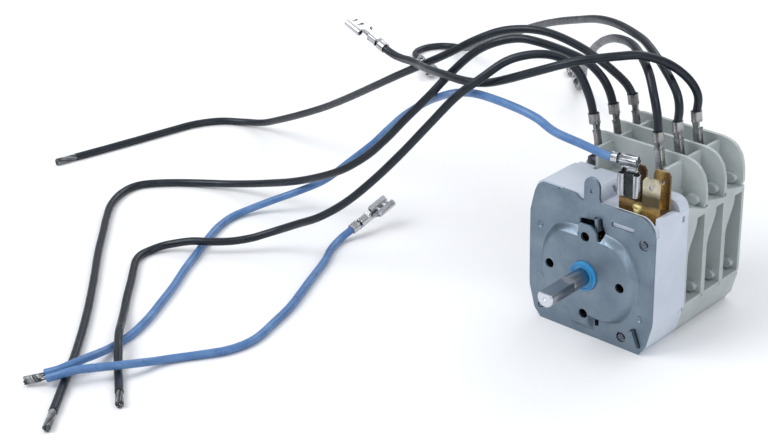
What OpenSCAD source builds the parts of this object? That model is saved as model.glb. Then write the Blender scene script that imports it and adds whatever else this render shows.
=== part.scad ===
// Sauna heater timer: a wind-up clockwork timer with a steel front plate, a
// plastic case, three stacked contact wafers and eight free leads.
// X is to the right, Y runs into the depth (the front plate faces -Y), Z is up.
// The timer stands on its lower edge, and the leads lie on the same surface.

/* [Front plate] */
// Width of the steel front plate (mm)
plate_w = 49.2; // [40:0.1:60]
// Thickness of the plate sheet (mm)
plate_t = 1.0; // [0.6:0.1:2]
// Height of the shaft axis above the lower edge (mm)
axis_h = 23.4; // [18:0.1:32]
// Plate edge above the axis, left of the tab (mm)
plate_top_left = 26.3; // [22:0.1:34]
// Plate edge above the axis, right of the tab (mm)
plate_top_right = 25.7; // [22:0.1:34]
// Top of the locating tab above the axis (mm)
tab_top = 33.8; // [28:0.1:40]
// Width of the locating tab (mm)
tab_w = 6.0; // [4:0.1:10]
// Radius of the raised round field at its foot (mm)
dome_r = 19.4; // [15:0.1:22]
// Height of the raised field over the plate (mm)
dome_h = 3.0; // [1:0.1:5]
// Distance between opposite fixing holes (mm)
hole_pitch = 28.0; // [20:0.5:36]
// Diameter of the four fixing holes (mm)
hole_d = 3.3; // [2:0.1:5]

/* [Shaft] */
// Diameter of the control shaft (mm)
shaft_d = 6.0; // [4:0.1:8]
// How far the shaft stands out from the raised field (mm)
shaft_out = 20.6; // [10:0.1:40]
// Diameter of the shaft in its bush and in the movement (mm)
journal_d = 5.6; // [4:0.1:8]
// Length of the flat at the tip (mm)
flat_len = 11.8; // [0:0.1:20]
// Depth of the flat (mm)
flat_cut = 1.2; // [0:0.1:3]
// Outer diameter of the plastic bush (mm)
bush_d = 10.3; // [8:0.1:14]
// Running gap between shaft and bush, on the radius (mm)
bush_gap = 0.08; // [0.02:0.01:0.3]

/* [Case] */
// Width of the plastic case (mm)
case_w = 49.6; // [40:0.1:60]
// Depth of the front case, measured from the plate's face (mm)
case_depth = 18.4; // [14:0.1:30]
// Pitch of the contact wafers (mm)
wafer_pitch = 11.0; // [8:0.1:16]
// Thickness of each wafer's rear wall (mm)
wall_t = 1.3; // [0.8:0.1:2]
// Top of the rear walls above the axis (mm)
wall_top = 36.1; // [30:0.1:42]
// Top of the dividers above the axis (mm)
divider_top = 34.3; // [28:0.1:40]

/* [Terminals] */
// Left row of lead terminals, distance from the axis (mm)
left_row = 14.6; // [10:0.1:20]
// Right row of lead terminals, distance from the axis (mm)
right_row = 10.2; // [6:0.1:14]
// Lean of the left row of crimps (degrees)
left_lean = 10.6; // [0:0.1:20]
// Lean of the right row of crimps (degrees)
right_lean = 8.0; // [0:0.1:20]
// Width of a push-on receptacle (mm)
receptacle_w = 7.7; // [5:0.1:9]
// Length of the push-on part of a receptacle (mm)
receptacle_l = 8.0; // [6:0.1:12]

/* [Leads] */
// Outer diameter of a black lead (mm)
lead_d = 2.9; // [1.5:0.1:4]
// Outer diameter of a blue lead (mm)
blue_d = 2.8; // [1.5:0.1:4]
// Diameter of a bare strand bundle (mm)
strand_d = 2.5; // [0.8:0.1:3]
// Rings along each lead
rings = 76; // [40:1:80]

/* [Movement] */
// Teeth of the main wheel on the shaft
main_teeth = 48; // [36:1:60]
// Teeth of each pinion
pinion_teeth = 8; // [6:1:12]
// Teeth of the second wheel
second_teeth = 30; // [20:1:40]
// Tooth module of the main wheel (mm)
main_module = 0.5; // [0.3:0.05:0.8]
// Tooth module of the second wheel (mm)
second_module = 0.4; // [0.3:0.05:0.8]
// Thickness of the mainspring strip (mm)
spring_t = 0.5; // [0.2:0.05:1]

/* [Node] */
// Sub-part to draw

/* [Hidden] */
$fn = 48;

half_w = plate_w / 2;
case_x = case_w / 2;
hole_r = hole_d / 2;
shaft_r = shaft_d / 2;
journal_r = journal_d / 2;
rear_y = case_depth + 3 * wafer_pitch;
tip_y = -dome_h - shaft_out;
face_y = -(rear_y + tip_y) / 2;
lead_r = lead_d / 2;
main_r = main_module * main_teeth / 2;
arm_1 = main_module * (main_teeth + pinion_teeth) / 2;
arm_2 = second_module * (second_teeth + pinion_teeth) / 2;
arbor_1 = [arm_1 * cos(225), arm_1 * sin(225)];
arbor_2 = [arbor_1[0] + arm_2 * cos(-30), arbor_1[1] + arm_2 * sin(-30)];
arbor_3 = [arbor_2[0] + 7.9 * cos(-5), arbor_2[1] + 7.9 * sin(-5)];
pin_places = [[20.6, 16.2], [13.2, -19.4]];
pocket_y = [for (k = [0:2]) case_depth + 5 + k * wafer_pitch];

steel = [0.50, 0.56, 0.61];
tin = [0.62, 0.60, 0.58];
bright = [0.80, 0.81, 0.82];
brass = [0.78, 0.62, 0.30];
plastic = [0.80, 0.83, 0.88];
wafer_grey = [0.76, 0.79, 0.80];
black = [0.16, 0.17, 0.20];
blue = [0.30, 0.48, 0.74];
bush_blue = [0.18, 0.55, 0.80];

// Route points of the free leads, in millimetres over the standing surface.
route_left_1 = [[-17, 9.5, 67.2], [-18, 9, 72], [-19.5, 8, 77], [-21.5, 6.5, 82], [-25, 4.5, 85.5], [-30, 2, 87], [-36, -1.5, 86.5], [-42, -5.5, 84], [-48, -10, 78.5], [-56, -14.2, 70.8], [-64.5, -17.5, 60.3], [-74, -22, 48], [-83, -27, 37], [-92, -32, 27.5], [-102, -35.5, 20], [-113, -36, 14], [-120.5, -37, 10], [-126, -40, 7.4], [-130, -43.5, 5.8], [-135, -48.5, 4.9], [-140.5, -53.5, 4.8], [-146.5, -57.5, 4.7], [-152.5, -61, 3.2], [-156, -64.2, 2.2], [-157.8, -68.4, 1.5], [-157.6, -72.8, 1.5], [-155.5, -77, 1.5], [-151.5, -81.4, 1.5], [-145, -88, 1.5], [-136.5, -97, 1.5], [-129, -104.5, 1.7], [-121, -112.3, 3.1], [-114, -118.8, 4.8], [-108, -124, 4.6], [-104, -127.6, 3], [-100.5, -130.7, 1.6], [-96.5, -133.8, 1.5], [-89.3, -139.5, 1.5]];
route_left_2 = [[-17, 20.5, 67.2], [-18.5, 20, 72], [-21, 19, 76.5], [-26, 18, 80.5], [-32, 16, 83], [-41, 12.5, 85.5], [-49, 10, 86], [-57, 7, 83.5], [-65.5, 5.6, 78], [-73.5, 3, 69.5], [-79.6, -1.5, 61], [-87.7, -4.5, 51.5], [-96, -7, 41.7], [-105, -8.5, 33], [-118, -10, 24], [-139, -9, 14], [-158, -9.5, 7.5], [-175, -12, 3.2], [-190, -18.5, 1.6], [-200, -26.5, 1.5], [-205.5, -34, 1.5], [-205, -42.5, 1.5], [-200, -52, 1.5], [-192, -61, 1.5], [-182, -71, 1.5], [-171, -82, 1.5], [-155, -97, 1.5], [-136, -115.5, 1.5], [-119.5, -133, 1.5], [-107, -147.5, 1.5], [-96.2, -160.1, 1.5]];
route_left_3 = [[-17, 31.5, 67.2], [-19.5, 31.3, 70.5], [-24, 31, 73.5], [-30, 30.7, 76.5], [-37, 30, 79.5], [-45, 28, 82.3], [-52, 26, 83.6], [-60, 24, 83], [-68, 22, 80.7], [-77, 20, 76], [-88, 18.3, 69], [-100, 18, 62], [-113, 19, 54.5], [-129, 22, 45], [-146, 26, 35], [-163, 30, 25.5], [-180, 33, 17], [-196, 36, 9.5], [-209, 38, 4], [-220, 37, 1.8], [-229, 32, 1.5], [-235, 23, 1.5], [-238, 11, 1.5], [-241, -4, 1.5], [-244, -18, 1.5], [-247.2, -32, 1.5]];
route_right_1 = [[8.6, 9.5, 67.2], [7.8, 9.7, 73], [5.6, 10.6, 79], [1, 14, 84.6], [-6, 19.5, 87.1], [-14.5, 26, 87.5], [-26.5, 35, 84], [-39, 46, 77.5], [-51.5, 58, 69], [-64, 72, 59.3], [-77, 87, 49], [-91, 105, 37], [-106, 125, 23.7], [-118.5, 141, 12.5], [-127.5, 152, 5.3], [-133, 158.5, 2.4], [-137, 163, 2.3]];
route_right_2 = [[8.6, 20.5, 67.2], [8.8, 20.7, 72], [7.4, 21.4, 76.2], [3.6, 23.3, 79.6], [-3, 27.3, 82.5], [-12, 33.5, 84.5], [-20, 39, 84.8], [-36, 49, 83], [-52, 59, 78.7], [-69.5, 70, 71.6], [-87.5, 81, 63.8], [-108, 94, 53.8], [-137.5, 114, 37.7], [-162, 132, 24.3], [-182, 146.5, 13.5], [-196.5, 157, 6], [-205.5, 162.3, 2.9], [-211, 162.9, 2], [-216.2, 160.6, 1.6], [-219.7, 155.6, 1.5], [-220, 149.4, 1.5], [-216.6, 143.7, 1.8], [-209, 139, 2.2]];
route_right_3 = [[8.6, 31.5, 67.2], [9, 31.2, 73], [7.3, 29.5, 78], [4.5, 25.5, 83], [1.8, 19.5, 87.3], [-1.5, 12.5, 90.4], [-6, 7, 90.6], [-11.3, 3, 89.8], [-17, -0.5, 88.5], [-23.5, -3, 86], [-33.5, -4.5, 81.5], [-44.5, -5.5, 76.6], [-52, -5.5, 74], [-61, -5, 72.6], [-72.5, -1.5, 70.9], [-84.5, 4.5, 68], [-96, 12, 64.8], [-104, 16.2, 63.2], [-110, 18.7, 61.9], [-114.8, 20.3, 61.4], [-118.5, 21, 61.8], [-121.2, 21.2, 62.7]];
route_blue_main = [[6.2, -10.7, 65], [3.3, -11.3, 65.1], [-4.6, -12.7, 67], [-14.6, -14.2, 69.1], [-21.5, -14.4, 71.9], [-28.5, -14.2, 73.1], [-39.1, -12.6, 73.1], [-50, -9.7, 71.7], [-58.7, -7.2, 69.4], [-68.3, -2.8, 65.2], [-80.8, 2.6, 58.5], [-90.3, 5.4, 52.5], [-99.7, 6.3, 45.3], [-107.6, 6.4, 37.8], [-114, 5, 31], [-124.5, 2, 21.2], [-132, -2.5, 14], [-140, -8, 9.2], [-148, -14.5, 5.2], [-153.8, -21.5, 2.3], [-155.4, -30, 1.45], [-153, -39, 1.45], [-149, -47.5, 1.45], [-142, -60.5, 1.45], [-136.5, -70.5, 1.45], [-130, -81.3, 1.45], [-124.3, -92, 1.45], [-119, -102.3, 1.45], [-115.2, -112, 1.45], [-113.6, -119.5, 1.5], [-112, -125.5, 2.3], [-110.6, -131, 3.5], [-109.9, -136, 4.4], [-109.7, -140, 4.8], [-110.2, -143.4, 4.7], [-111.7, -146.4, 4], [-114.2, -149, 3.2]];
route_blue_branch = [[-111.2, -150.5, 3.2], [-109, -148.4, 4], [-107.1, -145.9, 4.7], [-105.5, -142.8, 4.9], [-103.4, -139.6, 4.8], [-100.6, -136, 4.8], [-97.8, -131.9, 4.6], [-95.8, -127, 3.8], [-94.6, -121, 2.3], [-92, -114.5, 1.5], [-87, -107, 1.45], [-82.7, -100, 1.45], [-80.8, -92.5, 1.45], [-81.3, -86, 1.45], [-83.2, -79.5, 1.45], [-87.5, -66, 1.45], [-92, -56, 1.45], [-96.5, -46.5, 1.45], [-102.5, -33.5, 1.45], [-107.3, -25.2, 1.45], [-110.3, -17, 1.7], [-109.6, -11.5, 3.7]];

// ---------- helpers ----------

// Everything of the timer is drawn about the shaft axis and the plate's face.
module place() translate([0, face_y, axis_h]) children();

// A flat outline in X and Z, drawn from depth a to depth b.
module slab(a, b) translate([0, b, 0]) rotate([90, 0, 0]) linear_extrude(b - a) children();

// An outline in depth and height, drawn from x = a to x = b.
module side_slab(a, b) translate([a, 0, 0]) rotate([90, 0, 90]) linear_extrude(b - a) children();

module bore(x, z, r, a, b) translate([x, b, z]) rotate([90, 0, 0]) cylinder(r = r, h = b - a);

function unit(v) = v / norm(v);
function at(r, i) = i < 0 ? 2 * r[0] - r[1] : i >= len(r) ? 2 * r[len(r) - 1] - r[len(r) - 2] : r[i];
function curve(a, b, c, d, t) = 0.5 * (2 * b + (c - a) * t + (2 * a - 5 * b + 4 * c - d) * t * t + (3 * b - 3 * c + d - a) * t * t * t);
function along(r, s) = let (i = min(floor(s), len(r) - 2)) curve(at(r, i - 1), at(r, i), at(r, i + 1), at(r, i + 2), s - i);
function square_to(n, t) = unit(n - (n * t) * t);

// A round lead swept along its route.
module lead(r, d) {
    n = rings - 1;
    p = [for (i = [0:n]) along(r, i * (len(r) - 1) / n)];
    t = [for (i = [0:n]) unit(p[min(i + 1, n)] - p[max(i - 1, 0)])];
    f = [for (i = 0, v = square_to([0.31, 0.87, 0.39], t[0]); i <= n; i = i + 1, v = square_to(v, t[min(i, n)])) v];
    pts = [for (i = [0:n]) let (u = f[i], w = cross(t[i], u)) for (k = [0:7]) p[i] + d / 2 * (cos(45 * k) * u + sin(45 * k) * w)];
    faces = concat([[for (k = [7:-1:0]) k]], [for (i = [0:n - 1]) for (k = [0:7]) let (m = (k + 1) % 8) [8 * i + k, 8 * i + m, 8 * i + 8 + m, 8 * i + 8 + k]], [[for (k = [0:7]) 8 * n + k]]);
    polyhedron(points = pts, faces = [for (q = faces) [for (j = [len(q) - 1:-1:0]) q[j]]]);
}

// Turns +X towards a direction and moves to a point.
module aim(p, v) translate(p) rotate([0, -asin(v[2] / norm(v)), atan2(v[1], v[0])]) children();

module bare_end(r, l, d) {
    n = len(r) - 1;
    aim(r[n], r[n] - r[n - 1]) rotate([0, 90, 0]) translate([0, 0, -0.4]) {
        cylinder(d = d, h = l);
        translate([0, 0, l]) cylinder(d1 = d, d2 = d * 1.12, h = 1.2);
    }
}

// Push-on receptacle, from its lead end at the origin towards +X.
module receptacle() {
    difference() {
        union() {
            translate([0, 0, 0]) rotate([0, 90, 0]) cylinder(r = 2.1, h = 3.2);
            translate([2.9, -1.2, -2.0]) cube([1.6, 2.4, 0.8]);
            translate([4.2, 0, -0.2]) rotate([0, 90, 0]) cylinder(r = 1.65, h = 4.4);
            translate([8.4, -1.6, -1.8]) cube([3.6, 3.2, 0.8]);
            translate([11.6, -receptacle_w / 2, -1.8]) cube([receptacle_l, receptacle_w, 0.8]);
            for (s = [-1, 1]) translate([11.6, s * (receptacle_w / 2 - 1.35), -0.45]) rotate([0, 90, 0]) cylinder(r = 1.35, h = receptacle_l);
        }
        translate([-0.5, 0, 0]) rotate([0, 90, 0]) cylinder(r = 1.2, h = 3.0);
        translate([11, -receptacle_w / 2 + 1.1, -1.0]) cube([receptacle_l + 1, receptacle_w - 2.2, 0.85]);
        for (x = [14.1, 17.0]) translate([x, -1.65, -2.2]) cube([1.1, 3.3, 1.4]);
    }
}

function tooth_ring(n, m, lead_in) = let (r = m * n / 2, a = 360 / n) [for (i = [0:n - 1]) for (q = [[-0.27, -1.05], [-0.11, 0.72], [0.11, 0.72], [0.27, -1.05]]) let (g = i * a + q[0] * a + lead_in, s = r + q[1] * m) [s * cos(g), s * sin(g)]];
function saw_ring(n, r1, r2) = let (a = 360 / n) [for (i = [0:n - 1]) for (q = [[0.05, r1], [0.42, r2], [0.5, r2], [0.6, r1]]) [q[1] * cos((i + q[0]) * a), q[1] * sin((i + q[0]) * a)]];

// ---------- front plate ----------

module plate_outline() {
    w = half_w;
    tr = plate_top_right;
    tl = plate_top_left;
    union() {
        polygon([[-w + 0.1, -12.5], [-w + 2.2, -20.4], [-w + 4.8, -axis_h], [w - 4.4, -axis_h], [w - 2.2, -20.4], [w - 0.1, -12.5], [w, -10], [w, tr - 6.1], [w - 6.1, tr], [tab_w / 2 + 1.3, tr], [tab_w / 2 + 0.3, tr + 0.5], [tab_w / 2, tr + 1.5], [tab_w / 2, tab_top - tab_w / 2], [-tab_w / 2, tab_top - tab_w / 2], [-tab_w / 2, tr - 0.9], [-tab_w / 2 - 1.0, tr - 0.8], [-tab_w / 2 - 3.2, tl], [-12.2, tl + 0.2], [-12.6, tl - 0.5], [-13.2, tl], [-w + 4.4, tl], [-w + 3.0, tl - 1.0], [-w + 1.9, tl - 3.2], [-w + 0.9, tl - 7], [-w, tl - 11], [-w, -10]]);
        translate([w - 6.1, tr - 6.1]) circle(r = 6.1);
        translate([0, tab_top - tab_w / 2]) circle(r = tab_w / 2);
    }
}

// Turned shell of the raised field, its axis along Z and its top at +Z.
module dome_solid(r, h, e) rotate_extrude() union() {
    polygon([[0, -1], [0, h], [r - 2.9, h], [r - 2.9, h - 2], [r - 0.9, h - 2], [r, 0], [r, -1]]);
    translate([r - 2.9, h - 2]) circle(r = 2);
}

module dome_band(z0, z1, h) side_slab(-25, 25) polygon([[1, z0], [0, z0], [-h, z0 + 1.6], [-h - 1, z0 + 1.6], [-h - 1, z1 - 1.5], [-h, z1 - 1.5], [0, z1], [1, z1]]);

module dome_outer() {
    intersection() {
        rotate([90, 0, 0]) dome_solid(dome_r, dome_h, 0);
        dome_band(-16.6, 16.0, dome_h);
    }
    slab(-dome_h, 1) polygon([[-4.3, 11], [-4.3, 16.2], [-3.7, 17.5], [-2.3, 18.2], [2.1, 18.2], [3.5, 17.4], [4.3, 16.0], [4.4, 14.4], [4.9, 13.2], [4.9, 11]]);
    side_slab(-6.4, 2.5) polygon([[1, -10], [-dome_h, -10], [-dome_h, -16.6], [-dome_h + 0.9, -18.0], [0, -20.6], [1, -20.6]]);
}

module dome_inner() {
    intersection() {
        rotate([90, 0, 0]) translate([0, 0, -0.4]) dome_solid(dome_r - 1.1, dome_h - 0.7, 0);
        dome_band(-15.3, 14.8, dome_h - 1);
    }
}

// Opening over and beside the tongue of the top fixing hole.
tongue_opening = [[-4.3, 17.1], [-3.6, 17.9], [-2.3, 18.4], [2.1, 18.4], [3.7, 17.5], [4.5, 16.1], [4.6, 14.5], [5.1, 13.4], [5.8, 13.9], [6.0, 15.2], [5.6, 16.6], [4.8, 18.2], [4.6, 21.0], [2.2, 21.1], [1.2, 20.3], [-3.3, 19.2], [-4.2, 18.7]];

module twist_slots() {
    translate([18.9, 0, -17.9]) rotate([0, -22, 0]) cube([2.2, 8, 6.6], center = true);
    translate([-18.4, 0, -18.5]) rotate([0, 72, 0]) cube([1.7, 8, 4.9], center = true);
}

module front_plate() color(steel) place() difference() {
    union() {
        difference() {
            slab(0, plate_t) plate_outline();
            bore(0, 0, dome_r - 1.5, -1, 3);
        }
        intersection() {
            rotate([90, 0, 0]) translate([0, 0, -plate_t]) cylinder(r = dome_r, h = plate_t);
            slab(0, plate_t) circle(r = dome_r);
        }
        dome_outer();
        translate([-20.2, 0, -7.4]) rotate([90, 0, 0]) cylinder(r1 = 1.7, r2 = 1.2, h = 0.3);
    }
    dome_inner();
    bore(0, 0, bush_d / 2, -dome_h - 1, 3);
    for (a = [0:90:270]) bore(hole_pitch / 2 * cos(a), hole_pitch / 2 * sin(a), hole_r, -dome_h - 1, 3);
    bore(20.6, 16.2, 1.8, -1, 3);
    bore(13.2, -19.4, 1.8, -1, 3);
    bore(-20.2, 11.3, 1.2, -1, 0.5);
    bore(20.1, -10.3, 1.2, -1, 0.5);
    translate([8.4, -1, 20.1]) cube([8.8, 3, 1.7]);
    slab(-dome_h + 1, 2) polygon([[-3.3, 14.7], [4.7, 14.7], [4.7, 18.4], [-3.3, 18.4]]);
    slab(-dome_h - 1, 2) polygon(tongue_opening);
    translate([2.7, -4, -18.6]) cube([1.5, 6, 3.0]);
    slab(-1, 2) polygon([[-0.65, 28.4], [0.35, 28.5], [-0.35, 30.2]]);
    twist_slots();
}

module shaft_bush() color(bush_blue) place() difference() {
    union() {
        bore(0, 0, bush_d / 2 - 0.02, -dome_h - 0.7, -dome_h + 0.8);
        bore(0, 0, bush_d / 2 - 0.9, -dome_h - 0.9, -dome_h + 0.8);
        bore(0, 0, bush_d / 2 - 0.05, -dome_h + 0.8, 1.6);
    }
    bore(0, 0, journal_r + bush_gap, -dome_h - 2, 3);
    difference() {
        bore(0, 0, bush_d / 2 - 1.0, -dome_h - 2, -dome_h - 0.75);
        bore(0, 0, bush_d / 2 - 1.3, -dome_h - 2, -dome_h - 0.75);
    }
}

module control_shaft() color(bright) place() difference() {
    union() {
        bore(0, 0, shaft_r, tip_y + 0.4, tip_y + flat_len - 0.2);
        bore(0, 0, shaft_r - 0.25, tip_y + flat_len - 0.3, tip_y + flat_len + 0.2);
        bore(0, 0, shaft_r, tip_y + flat_len + 0.1, -dome_h - 1.2);
        bore(0, 0, journal_r, -dome_h - 1.3, 17);
        translate([0, tip_y + 0.4, 0]) rotate([90, 0, 0]) cylinder(r1 = shaft_r, r2 = shaft_r - 0.4, h = 0.4);
        bore(0, 0, 2.4, 16.9, rear_y - wall_t - 0.6);
    }
    translate([-5, tip_y - 1, shaft_r - flat_cut]) cube([10, flat_len + 1, 5]);
    translate([0, tip_y - 0.1, 0]) rotate([-90, 0, 0]) cylinder(r1 = 0.6, r2 = 0.05, h = 0.6);
}

// ---------- case and wafers ----------

module case_outline() {
    w = case_x;
    polygon([[-w + 0.2, -12.3], [-w + 2.3, -20.2], [-w + 5.0, -axis_h], [w - 4.6, -axis_h], [w - 2.3, -20.2], [w - 0.2, -12.3], [w, -10], [w, 26.4], [-w + 4.6, 27.1], [-w + 3.0, 26.0], [-w + 2.0, 23.8], [-w + 0.9, 20], [-w, 16], [-w, -10]]);
}

module main_housing() color(plastic) place() {
    difference() {
        union() {
            slab(plate_t, case_depth) case_outline();
            // raised rear of the neutral pocket
            slab(13.4, case_depth) polygon([[14.2, 20], [case_x - 0.1, 20], [case_x - 0.1, 27.9], [14.2, 27.9]]);
            // lip over the first wafer
            slab(case_depth - 0.1, case_depth + 2.2) union() {
                polygon([[-19.4, 24.7], [-13.1, 24.7], [-13.1, 27.0], [-19.4, 27.0]]);
                polygon([[-11.6, 24.7], [13.9, 24.7], [13.9, 26.8], [-11.6, 26.9]]);
            }
        }
        // space of the movement
        slab(plate_t - 1, case_depth - 1.3) polygon([[-22.9, -11], [-21, -18.6], [-18.6, -21.6], [20.0, -21.6], [21.9, -18.6], [22.9, -11], [22.9, 13.4], [6.4, 13.4], [6.4, 20.5], [5.6, 21.5], [-1.2, 21.5], [-5.6, 25.0], [-18.6, 25.0], [-20.6, 22.5], [-22.8, 15]]);
        // open pocket of the neutral terminals
        slab(2.0, 13.4) polygon([[8, 14.8], [23.2, 14.8], [23.2, 30], [8, 30]]);
        slab(14.8, case_depth - 1.3) polygon([[9, 13], [22.9, 13], [22.9, 23.8], [20.4, 26.3], [15.6, 26.3], [15.6, 25.0], [9, 25.0]]);
        // low right wall and the round shoulder behind it
        side_slab(23.1, case_x + 1) polygon([[0, 25.6], [9, 25.5], [11.5, 25.0], [13.41, 24.2], [13.41, 30], [0, 30]]);
        slab(13.3, case_depth + 1) difference() {
            translate([20.8, 24.0]) square([6, 6]);
            translate([20.8, 24.0]) circle(r = 3.9);
        }
        // lowered top beside the tab
        slab(plate_t - 1, case_depth - 1.4) difference() {
            translate([-4.3, 22.9]) square([12.4, 6]);
            translate([-4.3, 23.1]) circle(r = 4.0);
        }
        translate([-2.6, 13.2, 24.4]) rotate([0, 40, 0]) cube([2.0, 1.4, 4]);
        // plate corner
        slab(plate_t - 1, 2.3) polygon([[4.6, 25.5], [26, 25.5], [26, 30], [4.6, 30]]);
        slab(plate_t - 1, 2.3) difference() {
            translate([18.4, 19.5]) square([8, 8]);
            translate([18.4, 19.5]) circle(r = 6.1);
        }
        bore(0, 0, 3.4, 0, case_depth + 1);
        for (p = pin_places) bore(p[0], p[1], 1.17, 0, 2.55);
        translate([23.9, 14.9, 19.9]) cube([2, 1.6, 2.2]);
        difference() {
            translate([24.0, 17.0, -13.3]) rotate([0, 90, 0]) cylinder(r = 1.6, h = 2);
            translate([23.9, 16.5, -13.1]) rotate([0, 90, 0]) cylinder(r = 0.6, h = 0.8);
        }
        translate([24, 14.6, -14.9]) rotate([24, 0, 0]) cube([2, 2.4, 0.9]);
    }
    // seats of the locating pins, and the rib that shows in the plate's slot
    difference() {
        union() {
            translate([20.0, 1.2, 15.0]) cube([4, 1.6, 2.4]);
            translate([12.0, 1.2, -22.2]) cube([2.4, 1.6, 4.0]);
            translate([18.9, 1.2, 14.5]) cube([1.8, 1.6, 3.4]);
        }
        for (p = pin_places) bore(p[0], p[1], 1.17, 0, 2.55);
    }
    translate([8.8, 0.35, 20.3]) cube([7.9, 2.0, 1.3]);
}

// Two steel pins that locate the plate; their heads show in its round holes.
module locating_pins() color(steel) place() for (p = pin_places) difference() {
    bore(p[0], p[1], 1.15, 0.25, 2.5);
    translate([p[0], 0.2, p[1]]) rotate([-90, 0, 0]) cylinder(r1 = 0.45, r2 = 0.05, h = 0.4);
}

function gusset(z0) = [for (i = [0:8]) let (t = i / 8) [0.9 + 4.6 * (1 - cos(180 * t)) / 2, 5.5 + (z0 - 5.5) * t]];

module wafer(k) {
    y0 = case_depth + (k - 1) * wafer_pitch;
    y1 = y0 + wafer_pitch;
    yw = y1 - wall_t;
    zt = 20.2;
    rise = k == 1 ? 3.8 : 2.4;
    difference() {
        union() {
            // rear wall
            slab(yw, y1) union() {
                polygon([[-case_x + 0.2, -12.3], [-case_x + 2.3, -20.2], [-case_x + 5.0, -axis_h], [case_x - 4.6, -axis_h], [case_x - 2.3, -20.2], [case_x - 0.2, -12.3], [case_x, -10], [case_x, 23.5], [24.7, 26], [24.3, 28.6], [23.5, 31.2], [22.0, 33.4], [20.4, 34.7], [18.4, 35.5], [15.5, 35.9], [-15.8, wall_top], [-17.8, 35.8], [-19.2, 34.8], [-19.8, 33], [-19.8, 26.6], [-22.6, 24], [-24.4, 18], [-case_x, 14], [-case_x, -10]]);
            }
            // body below the terminals
            slab(y0, yw) difference() {
                polygon([[-case_x + 0.2, -12.3], [-case_x + 2.3, -20.2], [-case_x + 5.0, -axis_h], [case_x - 4.6, -axis_h], [case_x - 2.3, -20.2], [case_x - 0.2, -12.3], [case_x, -10], [case_x, 19.6], [16, 19.6], [16, 24.5], [-19.8, 24.5], [-21.6, 22.5], [-23.6, 17.6], [-case_x, 14], [-case_x, -10]]);
                circle(r = 12.4);
                polygon([[-13.6, 9.5], [8.5, 9.5], [8.5, 17.8], [-13.6, 17.8]]);
            }
            // sloping ledge at the right
            side_slab(14.8, case_x) polygon([[y0, 18], [yw, 18], [yw, zt], [y0 + 5, zt + rise * 0.45], [y0, zt + rise]]);
            // dividers
            translate([-12.9, y0 + (k == 1 ? 1.4 : 0), 20]) cube([1.1, yw - y0 - (k == 1 ? 1.4 : 0) + 0.1, divider_top - 20]);
            translate([14.1, y0 + (k == 1 ? 1.0 : 0), 18]) cube([1.2, yw - y0 - (k == 1 ? 1.0 : 0) + 0.1, divider_top - 18]);
            // pegs
            peg(20.4, yw, 22.6);
        }
        // right recess with its curved front edge
        side_slab(16.4, case_x + 1) polygon(concat([[yw, -10.9], [y0 + 0.9, -10.9]], [for (q = gusset(18.4)) [y0 + q[0], q[1]]], [[yw, 18.4]]));
        // left recess
        side_slab(-case_x - 1, -16.4) polygon(concat([[yw, -10.9], [y0 + 0.9, -10.9]], [for (q = gusset(14)) [y0 + q[0], q[1]]], [[yw, 14]]));
        bore(0, 0, 3.4, y0 - 1, yw - 0.1);
        if (k < 3) bore(0, 0, 3.4, yw - 0.2, y1 + 1);
        // slots of the terminals
        translate([-17.3, y0 + 4.3, 16.2]) cube([4.0, 1.4, 8.4]);
        translate([-18.8, y0 + 4.3, 22.2]) cube([4.1, 1.4, 4]);
        translate([7.6, y0 + 4.3, 16.6]) cube([5.2, 1.4, 10]);
        // small steps in the wall's edge
        translate([24.3, yw - 0.1, 20.3]) cube([1, 1.5, 1.2]);
        translate([24.35, yw - 0.1, -12.6]) cube([1, 1.5, 1.3]);
        // notches under the pegs
        translate([18.6, yw - 1.6, -12.6]) cube([3.2, 1.2, 1.9]);
        for (s = [-1, 1]) bore(s * 19.0, -15.5, 1.45, y0 - 1, y1 + 1);
        if (k == 3) for (s = [-1, 1]) bore(s * 19.0, -15.5, 2.6, y1 - 1.5, y1 + 1);
    }
    peg(20.9, yw, -8.7);
}

module peg(x, y, z) {
    translate([x - 1.3, y - 1.8, z - 1.6]) cube([2.6, 1.9, 3.2]);
    for (s = [-1, 1]) translate([x + s * 1.1, y + 0.1, z]) rotate([90, 0, 0]) cylinder(r = 1.3, h = 1.9);
    translate([x - 1.1, y - 1.8, z - 1.3]) cube([2.2, 1.9, 2.6]);
}

module wafer_1() color(wafer_grey) place() wafer(1);
module wafer_2() color(wafer_grey) place() wafer(2);
module wafer_3() color(wafer_grey) place() wafer(3);

// Two long screws that hold the stack together from the rear.
module rear_screws() color(steel) place() for (s = [-1, 1]) translate([s * 19.0, 0, -15.5]) {
    bore(0, 0, 1.4, case_depth + 0.2, rear_y - 1.4);
    difference() {
        bore(0, 0, 2.4, rear_y - 1.5, rear_y - 0.2);
        translate([-0.4, rear_y - 0.9, -3]) cube([0.8, 2, 6]);
    }
}

// ---------- movement ----------

module movement_plate() color(steel) place() {
    difference() {
        slab(13.0, 14.0) polygon([[-21.6, -10], [-19.8, -18.4], [-17.8, -21.0], [18.0, -21.0], [20.2, -18.4], [21.8, -10], [21.8, 12.4], [5.9, 12.4], [5.9, 19.5], [-12, 19.5], [-21.6, 12.4]]);
        bore(0, 0, journal_r + 0.35, 12, 15);
        for (p = [arbor_1, arbor_2, arbor_3]) bore(p[0], p[1], 0.5 + 0.06, 12, 15);
    }
    lug(3.4, 18.5, -6, 4.4, -1.5);
    lug(18.9, -17.9, -22, 6.2, -1.5);
    lug(-18.4, -18.5, 72, 4.2, 0.2);
}

// A leg of the movement plate with its twisted end in front of the plate.
module lug(x, z, a, w, y) translate([x, 0, z]) rotate([0, a, 0]) {
    translate([-0.5, 0.4, -w / 2 + 0.5]) cube([1.0, 12.8, w - 1.0]);
    translate([-0.6, y, -w / 2]) cube([1.2, 0.9 - y, w]);
}

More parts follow.
